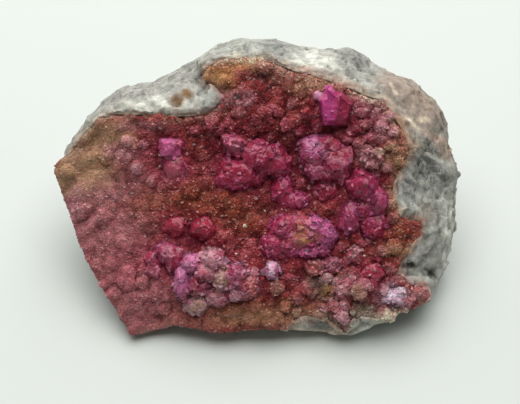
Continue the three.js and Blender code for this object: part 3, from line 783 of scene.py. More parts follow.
def spread(points, triangles, spacing, draws):
    """Spots strewn evenly over triangles, about this far apart: the spots, the outward direction at
    each, and a vertex beside each."""
    a, b, c = (points[triangles[:, k]] for k in range(3))
    across = np.cross(b - a, c - a)
    areas = np.linalg.norm(across, axis=1)
    # Three tries for each square of that spacing fill nearly all of them.
    tries = int(3 * areas.sum() / 2 / spacing**2)
    picks = draws.choice(len(triangles), tries, p=areas / areas.sum())
    s, t = draws.random((2, tries))
    flip = s + t > 1
    s[flip], t[flip] = 1 - s[flip], 1 - t[flip]
    spots = a[picks] + s[:, None] * (b - a)[picks] + t[:, None] * (c - a)[picks]
    _, kept = np.unique(np.floor(spots / spacing).astype(int), axis=0, return_index=True)
    outward = across / np.maximum(areas, 1e-12)[:, None]
    return spots[kept], outward[picks[kept]], triangles[picks[kept], 0]


def leaning_frames(outward, lean, draws):
    """An axis frame for each crystal: its tip near the outward direction, turned at random."""
    count = len(outward)
    tips = outward + draws.normal(0, lean, (count, 3))
    tips /= np.linalg.norm(tips, axis=1)[:, None]
    side = np.cross(tips, draws.normal(0, 1, (count, 3)))
    side /= np.linalg.norm(side, axis=1)[:, None]
    return np.stack((side, np.cross(tips, side), tips), axis=1)


def crystal_mesh(name, kinds):
    """One mesh of many small crystals. Each kind gives one crystal's corners and sides, and the places,
    frames, sizes and colours of its crystals."""
    points, faces, tints, count = [], [], [], 0
    for corners, sides, spots, frames, sizes, colours in kinds:
        placed = spots[:, None] + sizes[:, None, None] * np.einsum("ck,nkd->ncd", corners, frames)
        placed[:, :, 2] = np.maximum(placed[:, :, 2], LOWEST)
        starts = count + len(corners) * np.arange(len(spots))
        points.append(placed.reshape(-1, 3))
        faces += (sides[None] + starts[:, None, None]).reshape(-1, sides.shape[1]).tolist()
        tints.append(np.repeat(colours[:, :3], len(corners), axis=0))
        count += placed.shape[0] * placed.shape[1]
    mesh = bpy.data.meshes.new(name)
    mesh.from_pydata((np.vstack(points) * MM).tolist(), [], faces)
    mesh.update()
    paint(mesh, np.vstack(tints))
    return mesh


def with_satellites(lobes, count, draws):
    """The lobes with smaller ones round the foot of each, so that a group breaks up towards the druse.
    count is how many there are for each millimetre of a lobe's width."""
    grown = list(lobes)
    for u, v, wide, high, rise, sides, top, colour, turn in lobes:
        for _ in range(int(count * wide)):
            way, reach = draws.uniform(0, math.tau), draws.uniform(0.7, 0.95)
            at = (u + reach * wide * math.cos(way), v + reach * high * math.sin(way))
            size, part = draws.uniform(0.3, 0.5), draws.uniform(0.3, 0.75)
            own = colour if draws.random() < 0.6 else "raspberry"
            grown.append((*at, size * wide, size * high, part * rise, 5, top, own, turn))
    return grown


def lobe_shell(lobes, levels, draws):
    """Closed, many-sided blocks for the lobes of a crystal group, each rooted in the druse."""
    flat_top, plumpness, shoulder, root = 0.65, 0.94, 0.45, -1.0
    shell = bmesh.new()
    for (u, v, wide, high, rise, sides, top, *_), level in zip(lobes, levels):
        # A flat-topped block stands upright, with a point at its upper end.
        upright = top > flat_top
        start = math.pi / 2 if upright else draws.uniform(0, math.tau / sides)
        loose, foot = (0.02, 1.0) if upright else (0.08, 1.2)
        reach = plumpness / math.cos(math.pi / sides)
        tilt = draws.normal(0, 0.12, 2) * rise
        corners = []
        for ring, height in ((foot, root), (1.0, shoulder * rise), (top, rise)):
            for k in range(sides):
                turn = start + k * math.tau / sides + draws.normal(0, loose)
                out = ring * reach * (1 + draws.normal(0, loose))
                x, y = out * math.cos(turn), out * math.sin(turn)
                lift = (x * tilt[0] + y * tilt[1]) * max(height, 0) / rise
                corners.append((u + wide * x, v + high * y, level + height + lift))
        added = [shell.verts.new(p) for p in (off_face(corners) * MM).tolist()]
        made = bmesh.ops.convex_hull(shell, input=added)
        spare = {*made["geom_interior"], *made["geom_unused"]} & set(added)
        bmesh.ops.delete(shell, geom=list(spare), context="VERTS")
    mesh = bpy.data.meshes.new("lobes")
    shell.to_mesh(mesh)
    shell.free()
    return mesh


def add_node(tree, kind, inputs=None, **settings):
    """Adds one node: settings are its properties, inputs its values or the sockets that feed it."""
    made = tree.nodes.new(kind)
    for name, value in settings.items():
        setattr(made, name, value)
    for name, value in (inputs or {}).items():
        if isinstance(value, bpy.types.NodeSocket):
            tree.links.new(value, made.inputs[name])
        else:
            made.inputs[name].default_value = value
    return made


def blank_finish(name):
    """A material with no nodes yet, and its tree."""
    finish = bpy.data.materials.new(name)
    finish.use_nodes = True
    finish.node_tree.nodes.clear()
    return finish, finish.node_tree


def end_finish(tree, relief, height, strength, inputs):
    """Ends a material's tree with its shader, which these values and sockets feed. The surface has the
    relief of a pattern, this many millimetres high."""
    bump = add_node(
        tree, "ShaderNodeBump", {"Strength": strength, "Distance": height * MM, "Height": relief}
    )
    shader = add_node(tree, "ShaderNodeBsdfPrincipled", {"Normal": bump.outputs[0], **inputs})
    add_node(tree, "ShaderNodeOutputMaterial", {"Surface": shader.outputs[0]})


def weathered_dolomite():
    """Dolomite rock, broken and then weathered: dull, finely grained and cloudy, with dark specks and
    thin white veins in the mottled stretches."""
    finish, tree = blank_finish("dolomite_weathered")
    look = in_mm(bpy.context.scene.specimen_rock)
    place = add_node(tree, "ShaderNodeTexCoord").outputs["Object"]
    tint = add_node(tree, "ShaderNodeAttribute", attribute_name=TINT)
    mottled = tint.outputs["Alpha"]
    clouds, grains, speckle = (
        add_node(
            tree,
            "ShaderNodeTexNoise",
            {"Vector": place, "Scale": per_mm(size), "Detail": detail, "Roughness": rough},
        ).outputs["Fac"]
        for size, detail, rough in (
            (look.cloud_size, 6.0, 0.62),
            (look.grain_size, 3.0, 0.7),
            (look.speck_size, 5.0, 0.75),
        )
    )
    cloudy, grainy, dark = (
        add_node(
            tree,
            "ShaderNodeMapRange",
            {"Value": pattern, "From Min": low, "From Max": high, "To Min": least, "To Max": most},
        ).outputs[0]
        for pattern, low, high, least, most in (
            (clouds, 0.34, 0.66, 0.7, 1.2),
            (grains, 0.3, 0.7, 0.8, 1.15),
            (speckle, 0.52, 0.62, 0.0, 0.8),
        )
    )
    shade = add_node(tree, "ShaderNodeMath", {0: cloudy, 1: grainy}, operation="MULTIPLY").outputs[0]
    plain = add_node(
        tree, "ShaderNodeVectorMath", {0: tint.outputs["Color"], "Scale": shade}, operation="SCALE"
    ).outputs[0]
    # Dark specks are 0.5 mm and up, and only where the stone is mottled.
    specks = add_node(tree, "ShaderNodeMath", {0: dark, 1: mottled}, operation="MULTIPLY").outputs[0]
    specked = add_node(
        tree, "ShaderNodeMix", {"Factor": specks, 6: plain, 7: (*linear("#4c4b49"), 1)}, data_type="RGBA"
    ).outputs[2]
    # Veins run where a second noise crosses its middle value. They are drawn about 0.3 mm wide, wider than
    # real ones, so that they show.
    wisps = add_node(
        tree,
        "ShaderNodeTexNoise",
        {
            "Vector": place,
            "Scale": per_mm(look.vein_size),
            "Detail": 4.0,
            "Roughness": 0.6,
            "Distortion": 0.6,
        },
    ).outputs["Fac"]
    middle, half_width, strength = 0.5, 0.03, 0.3
    veins = add_node(
        tree, "ShaderNodeMath", {0: wisps, 1: middle, 2: half_width}, operation="COMPARE"
    ).outputs[0]
    for weight in (mottled, strength):
        veins = add_node(tree, "ShaderNodeMath", {0: veins, 1: weight}, operation="MULTIPLY").outputs[0]
    veined = add_node(
        tree, "ShaderNodeMix", {"Factor": veins, 6: specked, 7: (*linear("#d2d2ca"), 1)}, data_type="RGBA"
    ).outputs[2]
    relief = add_node(tree, "ShaderNodeMath", {0: speckle, 1: grains}, operation="ADD").outputs[0]
    looks = {"Base Color": veined, "Roughness": 0.85, "IOR": DOLOMITE_IOR, "Specular IOR Level": 0.2}
    end_finish(tree, relief, look.grain_size * 0.5, 0.4, looks)
    return finish


def grown_dolomite(name, gloss, level, glow, grain, rub):
    """Dolomite as it grew: glassy faces that let some light in, so that edges glow and cracks stay deep
    red. gloss is the roughness of a clean face, level how much it reflects, glow the light that gets in,
    grain the size of the unevenness in its faces and rub how uneven they are."""
    finish, tree = blank_finish(name)
    place = add_node(tree, "ShaderNodeTexCoord").outputs["Object"]
    tint = add_node(tree, "ShaderNodeAttribute", attribute_name=TINT)
    veils = add_node(
        tree,
        "ShaderNodeTexNoise",
        {"Vector": place, "Scale": per_mm(grain), "Detail": 4.0, "Roughness": 0.65},
    ).outputs["Fac"]
    depth, dulled = (
        add_node(
            tree,
            "ShaderNodeMapRange",
            {"Value": veils, "From Min": low, "From Max": high, "To Min": least, "To Max": most},
        ).outputs[0]
        for low, high, least, most in ((0.3, 0.7, 0.78, 1.2), (0.35, 0.65, gloss, gloss + 0.2))
    )
    veiled = add_node(
        tree, "ShaderNodeVectorMath", {0: tint.outputs["Color"], "Scale": depth}, operation="SCALE"
    )
    looks = {
        "Base Color": veiled.outputs[0],
        "Roughness": dulled,
        "IOR": DOLOMITE_IOR,
        "Specular IOR Level": level,
        "Subsurface Weight": glow,
        "Subsurface Radius": (1.0, 0.3, 0.4),
        "Subsurface Scale": 0.7 * MM,
    }
    end_finish(tree, veils, grain * 0.25, rub, looks)
    return finish


def studio_paper():
    """Matt white paper: an even, soft sweep with no gloss."""
    finish, tree = blank_finish("paper_matt_white")
    place = add_node(tree, "ShaderNodeTexCoord").outputs["Object"]
    fibres = add_node(tree, "ShaderNodeTexNoise", {"Vector": place, "Scale": per_mm(1.2), "Detail": 4.0})
    paper = (*bpy.context.scene.specimen_stage.paper, 1)
    looks = {"Base Color": paper, "Roughness": 0.9, "Specular IOR Level": 0.2}
    end_finish(tree, fibres.outputs["Fac"], 0.05, 0.05, looks)
    return finish


def length(name, description, size):
    """A length a user can change. It is kept in metres and its default is given in millimetres."""
    return bpy.props.FloatProperty(
        name=name, description=description, default=size * MM, min=0.0, precision=5, unit="LENGTH"
    )


def share(name, description, amount, most=1.0):
    """A plain amount a user can change."""
    return bpy.props.FloatProperty(
        name=name, description=description, default=amount, min=0.0, max=most, subtype="FACTOR"
    )


class SpecimenPalette(bpy.types.PropertyGroup):
    """Every colour on the specimen."""


for colour_name, colour_hex, colour_note in PALETTE_DEFAULTS:
    SpecimenPalette.__annotations__[colour_name] = bpy.props.FloatVectorProperty(
        name=colour_name.replace("_", " ").capitalize(),
        description=colour_note,
        default=linear(colour_hex),
        min=0.0,
        max=1.0,
        size=3,
        subtype="COLOR",
    )


class RockLook(bpy.types.PropertyGroup):
    """How uneven the rock is, and how its colour breaks up."""

    pitch: length("Mesh pitch", "Spacing of the rock's mesh", 0.4)
    lump_size: length("Lump size", "Width of the broad lumps", 6.0)
    lump_height: length("Lump height", "Height of the broad lumps", 0.35)
    break_size: length("Break size", "Width of the flats that the rock broke along", 3.4)
    break_step: length("Break step", "Height of the steps between them", 0.2)
    chip_size: length("Chip size", "Width of the small chipped hollows", 1.7)
    chip_depth: length("Chip depth", "Depth of the small chipped hollows", 0.16)
    streak_width: length("Streak width", "Width of the light and dark streaks", 0.9)
    streak_length: length("Streak length", "Length of the streaks along the rim", 6.0)
    streak_shade: share("Streak shade", "How strong the streaks are", 0.3)
    cloud_size: length("Cloud size", "Width of the light and dark clouds", 2.2)
    grain_size: length("Grain size", "Width of the rock's grain", 0.5)
    speck_size: length("Speck size", "Width of the dark specks", 1.3)
    vein_size: length("Vein spacing", "Distance between the white veins", 2.6)
    crack_shade: share("Crack shade", "How dark the cracks are", 0.8, 2.0)
    lip_slope: share("Lip slope", "How steeply the rock rises from the edge of the druse", 0.6, 2.0)
    lip_fill: length("Lip fill", "How far from the druse the rock is filled up to its level", 1.3)


class DruseLook(bpy.types.PropertyGroup):
    """The crystal lining of the hollow."""

    pitch: length("Mesh pitch", "Spacing of the lining's mesh", 0.32)
    thickening: length("Thickening", "How far the lining grows over the rock", 0.4)
    swell_size: length("Swell size", "Width of the broad swells", 5.0)
    swell_height: length("Swell height", "Height of the broad swells", 0.5)
    knob_size: length("Knob size", "Width of the rounded knobs", 2.1)
    knob_height: length("Knob height", "Height of the rounded knobs", 0.5)
    bud_size: length("Bud size", "Width of the small knobs on the large ones", 0.9)
    bud_height: length("Bud height", "Height of the small knobs", 0.16)
    rim_rise: length("Rim rise", "How much the lining rises where it meets the rock", 0.15)
    ball_height: share("Ball height", "Height of the crystal balls for their radius", 0.8, 2.0)
    ball_shade: share("Ball shade", "How strongly the crystal balls are coloured", 0.65)
    valley_shade: share("Valley shade", "How deep the colour is between the knobs", 0.8)
    crystal_size: length("Crystal size", "Edge of a common druse crystal", 0.36)
    crystal_spacing: length("Crystal spacing", "Distance between druse crystals", 0.34)
    crystal_lean: share("Crystal lean", "How unevenly the druse crystals stand", 0.4, 2.0)
    block_size: length("Block size", "Edge of the larger druse crystals", 0.42)
    block_spacing: length("Block spacing", "Distance between the larger druse crystals", 0.9)
    edge_wander: length("Edge wander", "How far the edge's colour strays", 0.9)


class CrystalLook(bpy.types.PropertyGroup):
    """The grown crystal groups."""

    pitch: length("Mesh pitch", "Spacing of the crystals' mesh", 0.175)
    swell: length("Swell", "Height of the broad swells of a crystal", 0.15)
    wrinkle: length("Wrinkle", "Height of the fine wrinkles in the faces", 0.05)
    step_size: length("Step size", "Distance between the growth steps", 1.1)
    step_height: length("Step height", "Height of the growth steps", 0.14)
    facet_size: length("Facet size", "Width of the faces", 1.9)
    facet_step: length("Facet step", "Height of the steps between faces", 0.07)
    edge_frost_and_highlight: share("Frosting", "How pale the sharp edges are", 0.36)
    grain_shade: share("Grain shade", "How strong the pale streaks in the crystals are", 0.3)
    crack_shade: share("Crack shade", "How dark the cracks are", 1.2, 2.0)
    root_shade: share("Root shade", "How much deeper the colour is at the foot of a crystal", 0.6)
    shard_size: length("Shard size", "Edge of the small crystals that stand on the large ones", 0.5)
    shard_spacing: length("Shard spacing", "Distance between the small crystals", 0.7)


class StageLook(bpy.types.PropertyGroup):
    """The floor, the lights and the camera."""

    paper: bpy.props.FloatVectorProperty(
        name="Paper", description="Colour of the floor", default=linear("#cbd0cd"), size=3, subtype="COLOR"
    )
    surround: share("Surround", "Strength of the even light all round", 0.14, 3.0)
    key: bpy.props.FloatProperty(
        name="Key light",
        description="Power of the large soft light",
        default=7.2,
        min=0.0,
        max=50.0,
        subtype="POWER",
    )
    glint: bpy.props.FloatProperty(
        name="Glint lights",
        description="Power of each small bright light",
        default=0.02,
        min=0.0,
        max=20.0,
        subtype="POWER",
    )
    distance: bpy.props.FloatProperty(
        name="Camera distance",
        description="From the camera to the face",
        default=0.2456,
        min=0.05,
        unit="LENGTH",
    )
    lens: bpy.props.FloatProperty(
        name="Lens", description="Focal length", default=85.0, min=10.0, max=300.0, unit="CAMERA"
    )
    tilt: bpy.props.FloatProperty(
        name="Camera tilt",
        description="How steeply the camera looks down",
        default=math.radians(50),
        subtype="ANGLE",
    )


def lay_grit(points, tints, beyond, colours):
    """Lays the grit of the druse's edge over tints, the same on the rock as on the druse. beyond is how far
    each point lies past that edge, and is negative on the druse."""
    ground = np.append(colours["sand"], 1.0)
    grit = stained(points, np.tile(ground, (len(points), 1)), EDGE_STAINS, EDGE_SEED)
    wander = in_mm(bpy.context.scene.specimen_druse).edge_wander
    stray = beyond + wander * lumps(points, 2.2, EDGE_SEED + 5, 3)
    part = np.exp(-((stray / grit[:, 3]) ** 2)) * (0.8 + 0.5 * lumps(points, 0.8, EDGE_SEED + 8, 2))
    lay(tints, np.clip(part, 0, 0.95), grit[:, :3])


def rock_relief(points, outward, under_crust, to_crust, look, draws):
    """How far each point of the rock moves outward: broad lumps, chipped hollows and the flats it broke
    along. It sinks a little under the druse, and evens out towards the druse and the floor."""
    height = look.lump_height * lumps(points, look.lump_size, seed=1)
    height += look.chip_depth * (np.abs(lumps(points, look.chip_size, seed=2, octaves=3)) - 0.35)
    flats = faceted(
        points, outward, look.break_size, seed=5, tip=0.14, step=look.break_step, draws=draws
    )
    height += 0.5 * flats
    deepest, highest, sunk = -0.8, 0.4, -0.25
    height = np.clip(height, deepest, highest)
    height = np.where(under_crust, sunk, height * ease(0.1, 1.5, to_crust))
    return height * ease(0.0, 2.0, points[:, 2])


def fit_lip(spots, outward, beside, crust, look):
    """Makes the rock rise gently from the edge of the druse. spots are the rock's places on the face, and
    beside tells which of them lie beside the druse."""
    points, triangles = crust
    tops = on_face(points[triangles].mean(axis=1)[faces_out(points, triangles, 0.3)])
    edge = KDTree(len(tops))
    for n, (u, v, _) in enumerate(tops):
        edge.insert((u, v, 0), n)
    edge.balance()
    # Only what faces forward or into the hollow is filled, not the sides of the lump.
    facing = outward @ FACE_AXES.T
    away = (facing[:, :2] * spots[:, :2]).sum(axis=1) / np.hypot(spots[:, 0], spots[:, 1])
    in_front = ease(-0.1, 0.35, facing[:, 2] - away)
    cut_above, fill_to = 0.25, 0.35
    for n in np.flatnonzero(beside & (spots[:, 2] < FACE_DEPTH)):
        _, top, gap = edge.find((spots[n, 0], spots[n, 1], 0))
        limit = tops[top, 2] + cut_above + look.lip_slope * max(gap - 0.4, 0)
        spots[n, 2] = min(spots[n, 2], limit)
        short = max(tops[top, 2] + fill_to - spots[n, 2], 0)
        close = ease(1.3 * look.lip_fill, 0.8 * look.lip_fill, gap)
        spots[n, 2] += in_front[n] * close * ease(3.0, 1.8, short) * short


def rock_tints(points, spots, look, colours):
    """The rock's stained, scratched and streaked colour at each point, and how mottled it is there."""
    ground = np.append(colours["stone"] * 0.6 + colours["ash"] * 0.4, 0.55)
    tints = stained(points, np.tile(ground, (len(points), 1)), ROCK_STAINS, 3)
    tints += ease(*STAINS_END, spots[:, 2])[:, None] * (ground - tints)
    loose = spots[:, :2] + 0.25 * np.column_stack([lumps(points, 1.2, seed, 3) for seed in (61, 62)])
    for name, from_u, from_v, to_u, to_v, wide, strength in SCRATCHES:
        start, run = np.array((from_u, from_v)), np.array((to_u - from_u, to_v - from_v))
        part = np.clip((loose - start) @ run / (run @ run), 0, 1)
        off = np.linalg.norm(loose - start - part[:, None] * run, axis=1)
        line = strength * np.exp(-((off / wide) ** 2)) * ease(*SCRATCHES_BEGIN, spots[:, 2])
        lay(tints, line, colours[name])
    # The streaks run round the face, in bands that are long along it and narrow across it.
    around = np.arctan2(spots[:, 1], spots[:, 0]) * FACE_RADIUS / look.streak_length
    across = np.hypot(spots[:, 0], spots[:, 1]) / look.streak_width
    streaks = lumps(np.column_stack((around, across, spots[:, 2] / look.streak_width)), 1, 18, 3)
    tints[:, :3] *= (1 + look.streak_shade * streaks * (0.2 + tints[:, 3]))[:, None]
    return tints


class SPECIMEN_OT_rock(bpy.types.Operator):
    """Shapes the broken, weathered rock"""

    bl_idname = "specimen.rock"
    bl_label = "Rock"

    def execute(self, context):
        look = in_mm(context.scene.specimen_rock)
        draws = np.random.default_rng(ROCK_SEED)
        colours = palette()
        mesh = rebuilt(welded(ROCK), 1, look.pitch)
        points, _ = mesh_arrays(mesh)
        outward = vertex_normals(mesh)
        crust = mesh_arrays(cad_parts[CRUST].data)
        cover = surface_tree(*crust)
        under_crust = covered(cover, points)
        to_crust = distances(cover, points)
        height = rock_relief(points, outward, under_crust, to_crust, look, draws)
        spots = on_face(points + outward * height[:, None])
        fit_lip(spots, outward, ~under_crust & (to_crust < LIP_REACH), crust, look)
        moved = off_face(spots)
        moved[:, 2] = np.maximum(moved[:, 2], 0)
        low, high = (np.array(corner) / MM for corner in CAD_BOX)
        moved = np.clip(moved, low - BOX_SLACK, high + BOX_SLACK)
        set_points(mesh, moved)

        tints = rock_tints(moved, spots, look, colours)
        # Painted shade and highlight: the cracks are darkened and the ridges a little lightened, as light
        # would fall on them.
        standing = ridges(moved, vertex_normals(mesh), edge_ends(mesh), 6)
        cracks = look.crack_shade * np.clip(standing * 3, -0.6, 0.25) * ease(0.4, 1.6, to_crust)
        tints[:, :3] *= (1 + cracks)[:, None]
        lay_grit(moved, tints, 1.2 * (to_crust - 0.4), colours)
        paint(mesh, tints)
        mesh.shade_smooth()
        set_piece("rock", mesh, weathered_dolomite(), [ROCK])
        return {"FINISHED"}


def druse_tints(points, colours):
    """The druse's stained colour at each point, and how coarse the druse is there."""
    drift = lumps(points, 6.0, 14, 3)[:, None]
    ground = colours["brick"] + 0.7 * np.clip(drift, 0, 1) * (colours["rust"] - colours["brick"])
    ground += 0.7 * np.clip(-drift, 0, 1) * (colours["dusk"] - colours["brick"])
    return stained(points, np.column_stack((ground, np.ones(len(points)))), DRUSE_STAINS, 7)


def set_balls(points, tints, look, colours):
    """Colours the druse's crystal balls in tints. Returns how high they stand at each point."""
    spots = on_face(points)
    ragged = 0.3 * np.column_stack([lumps(points, 0.9, seed, 2) for seed in (8, 9)])
    ball = np.zeros(len(points))
    for u, v, radius, colour in DRUSE_BALLS:
        dome = 1 - ((spots[:, :2] + ragged - (u, v)) ** 2).sum(axis=1) / radius**2
        ball = np.maximum(ball, look.ball_height * radius * np.sqrt(np.maximum(dome, 0)))
        lay(tints, look.ball_shade * ease(-0.2, 0.5, dome), colours[colour])
    return ball


def from_bare_rock(points):
    """How far each point is from the rock that the druse leaves bare on the face."""
    rock_points, rock_triangles = mesh_arrays(bpy.data.objects["rock"].data)
    middles = rock_points[rock_triangles].mean(axis=1)
    bare = faces_out(rock_points, rock_triangles, 0.2) & (np.abs(on_face(middles)[:, 2]) < FACE_DEPTH)
    bare[bare] = ~covered(surface_tree(*mesh_arrays(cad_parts[CRUST].data)), middles[bare])
    return distances(surface_tree(rock_points, rock_triangles[bare]), points)


def shade_druse(points, tints, knob_set, bud_set, relief, inside, look, colours):
    """Paints light and shade into the druse's colours: painted shade deepens its valleys, painted highlight
    pales the tops of some of its knobs, it turns pinker round the pink crystal groups, and painted shade
    darkens it right at their feet. Each set is the heights and the numbers of its knobs."""
    (knob, own), (bud, bud_own) = knob_set, bud_set
    coarse = tints[:, 3]
    # Painted shade: the valleys between the knobs are darkened, most where the druse is coarse.
    valley = 1 - 0.65 * knob - 0.35 * bud
    deep = look.valley_shade * ease(0.3, 0.95, valley - 0.8 * relief) * np.minimum(coarse, 1)
    deep *= ease(0.2, 1.6, inside)
    tints[:, :3] *= (1 + 0.16 * own + 0.12 * bud_own)[:, None]
    tints[:, :3] *= 1 - deep[:, None] * VALLEY_LOSS
    # Painted highlight: the tops of some knobs are paled towards blush.
    crest_highlight = 0.3 * ease(0.5, 1.0, 0.6 * knob + 0.4 * bud) * np.minimum(coarse, 1.4)
    lay(tints, crest_highlight * ease(-0.2, 0.6, own), colours["blush"])

    # Round the pink groups the druse takes on their pink, and right at their feet painted shade makes it
    # deepest red.
    pink = [node for node, (_, grainy, _) in GROWTHS.items() if grainy < 0.5]
    groups = [mesh_arrays(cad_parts[node].data) for node in pink]
    to_groups = np.min([distances(surface_tree(*group), points) for group in groups], axis=0)
    for name, part, wide in (("raspberry", 0.45, 2.2), ("wine", 0.4, 0.7)):
        lay(tints, part * np.exp(-((to_groups / wide) ** 2)), colours[name])


def small_crystals(points, triangles, coarse, clean, tints, look, draws):
    """The druse's crystals for crystal_mesh: many that show only their tips, and fewer, larger ones. Their
    colours are taken from clean and from the gritty tints."""
    open_side = triangles[faces_out(points, triangles, 0.1)]
    kinds = []
    for corners, sides, size, spacing, sunk, spare in (
        (TIP, TIP_SIDES, look.crystal_size, look.crystal_spacing, 0.1, 0.0),
        (RHOMB, RHOMB_SIDES, look.block_size, look.block_spacing, 0.15, 0.35),
    ):
        spots, outward, beside = spread(points, open_side, spacing, draws)
        kept = draws.random(len(spots)) > spare * (1.4 - np.minimum(coarse[beside], 1.4))
        spots, outward, beside = spots[kept], outward[kept], beside[kept]
        sizes = size * np.exp(draws.normal(0, 0.25, len(spots))) * (0.6 + 0.4 * coarse[beside])
        # Near the rock, clean crystals and gritty ones stand side by side.
        gritty = (draws.random(len(spots)) < 0.55)[:, None]
        shades = np.where(gritty, 1.12 * tints[beside], clean[beside])
        shades *= np.exp(draws.normal(0.04, 0.16, len(spots)))[:, None]
        frames = leaning_frames(outward, look.crystal_lean, draws)
        kinds.append((corners, sides, spots - sunk * sizes[:, None] * outward, frames, sizes, shades))
    return kinds


def pale_crystals(bed, colours):
    """The single pale crystals that stand out of the druse, for crystal_mesh."""
    grains = []
    for u, v, size, turn in BRIGHT_GRAINS:
        axes = Matrix.Rotation(math.radians(turn), 3, OUT) @ Matrix(FACE_AXES.tolist()).transposed()
        spot = landing(bed, u, v) + 0.3 * size * OUT
        grains.append((np.array(spot), np.array(axes.transposed()), size))
    spots, frames, sizes = (np.array(part) for part in zip(*grains))
    return RHOMB, RHOMB_SIDES, spots, frames, sizes, np.tile(colours["cream"], (len(grains), 1))


class SPECIMEN_OT_druse(bpy.types.Operator):
    """Grows the crystal lining of the hollow: its bed and the small crystals that cover it"""

    bl_idname = "specimen.druse"
    bl_label = "Druse lining"

    def execute(self, context):
        look = in_mm(context.scene.specimen_druse)
        draws = np.random.default_rng(DRUSE_SEED)
        colours = palette()
        mesh = rebuilt(welded(CRUST), 1, look.pitch)
        points, _ = mesh_arrays(mesh)
        outward = vertex_normals(mesh)
        front = ease(0.0, 0.5, outward @ FACE_AXES[2])
        tints = druse_tints(points, colours)
        coarse = tints[:, 3]
        knob_set = knobs(points, look.knob_size, seed=4)
        bud_set = knobs(points, look.bud_size, seed=5)
        rise = coarse * (look.knob_height * (knob_set[0] - 0.5) + look.bud_height * (bud_set[0] - 0.5))
        rise += look.swell_height * lumps(points, look.swell_size, seed=6)
        rise += set_balls(points, tints, look, colours)
        points += outward * (look.thickening + front * rise)[:, None]
        points[:, 2] = np.maximum(points[:, 2], BED_LOWEST)
        set_points(mesh, points)

        # The lining rises a little where it meets the rock, so that no groove is left between them.
        inside = from_bare_rock(points)
        points += (look.rim_rise * front * np.exp(-((inside / 0.8) ** 2)))[:, None] * FACE_AXES[2]
        set_points(mesh, points)
        relief = ridges(points, vertex_normals(mesh), edge_ends(mesh), 10)

        shade_druse(points, tints, knob_set, bud_set, relief, inside, look, colours)
        clean = tints[:, :3].copy()
        lay_grit(points, tints, -inside, colours)
        paint(mesh, tints[:, :3])
        mesh.shade_smooth()
        finish = grown_dolomite(
            "dolomite_druse_bed", gloss=0.45, level=0.12, glow=0.35, grain=0.45, rub=0.5
        )
        set_piece("druse_bed", mesh, finish, [CRUST])

        points, triangles = mesh_arrays(mesh)
        kinds = small_crystals(points, triangles, coarse, clean, tints[:, :3], look, draws)
        kinds.append(pale_crystals(surface_tree(points, triangles), colours))
        finish = grown_dolomite(
            "dolomite_druse_crystals", gloss=0.16, level=0.26, glow=0.4, grain=0.4, rub=0.2
        )
        set_piece("druse_crystals", crystal_mesh("druse_crystals", kinds), finish, [CRUST])
        return {"FINISHED"}


def shape_group(mesh, grainy, look, draws):
    """Shapes a crystal group: broad swells and flat faces, then growth steps and fine wrinkles. Returns its
    points, and its outward directions before the steps."""
    points, _ = mesh_arrays(mesh)
    ends = edge_ends(mesh)
    outward = vertex_normals(mesh)
    points = near_mean(near_mean(points, ends), ends)
    move = look.swell * lumps(points, 2.4, 21, 2)
    # A grainy group is cut more deeply, into smaller faces.
    cut =0.55 + 0.3 * grainy if grainy else 0.3
    facet_size = look.facet_size * (1 - 0.4 * grainy)
    flats = faceted(points, outward, facet_size, seed=9, tip=0.1, step=look.facet_step, draws=draws)
    move += cut * flats
    points += outward * move[:, None]
    set_points(mesh, points)
    outward = vertex_normals(mesh)
    rise = steps(points, look.step_size, 33) + 0.6 * steps(points, 0.6, 35)
    rise *= look.step_height * (1.0 if grainy else 0.3)
    points += outward * (rise + look.wrinkle * lumps(points, 0.8, 23, 2))[:, None]
    points[:, 2] = np.maximum(points[:, 2], LOWEST)
    set_points(mesh, points)
    return points, outward


def group_tints(points, relief, lobes, foot, edge, look):
    """A crystal group's colour at each point: those of its lobes, with pale edges and streaks that are
    partly frosting and partly painted highlight, and painted shade in the cracks and at the foot. edge is
    the colour of its thin edges."""
    colours = palette()
    spots = on_face(points)
    reach = [
        ((spots[:, 0] - u) / wide) ** 2 + ((spots[:, 1] - v) / high) ** 2 for u, v, wide, high, *_ in lobes
    ]
    _, _, _, _, rises, _, _, names, turns = zip(*lobes)
    # Each point takes after the lobes it lies nearest to, and its grain runs the way of the nearest.
    weights = np.exp(-2.2 * np.array(reach)) + 1e-12
    weights /= weights.sum(axis=0)
    tints = weights.T @ np.array([colours[name] for name in names])
    climb = np.clip((spots[:, 2] - weights.T @ foot) / (weights.T @ rises), 0, 1)
    turn = np.radians(turns)[weights.argmax(axis=0)]
    along = spots[:, 0] * np.cos(turn) + spots[:, 1] * np.sin(turn)
    across = spots[:, 1] * np.cos(turn) - spots[:, 0] * np.sin(turn)
    grain = lumps(np.column_stack((along / 2.6, across / 0.45, spots[:, 2] / 1.2)), 1, 25, 2)
    tints *= (1 + 0.3 * lumps(points, 1.8, 27, 3))[:, None]
    # Sharp edges are paled towards the edge colour: partly frosting, partly painted highlight where they
    # catch the light.
    pale = look.edge_frost_and_highlight * ease(0.015, 0.09, relief)
    # Pale streaks along the grain on the upper part of each lobe: the striations' own paleness and painted
    # glints on their edges.
    pale += look.grain_shade * ease(0.1, 0.55, grain) * ease(0.35, 0.8, climb)
    lay(tints, np.clip(pale, 0, 0.85), colours[edge])
    # Painted shade: darker towards the foot of each lobe, and in the cracks.
    tints *= (1 - look.root_shade * ease(0.75, 0.1, climb))[:, None]
    tints *= (1 + look.crack_shade * np.clip(relief * 6, -0.7, 0.0))[:, None]
    return tints


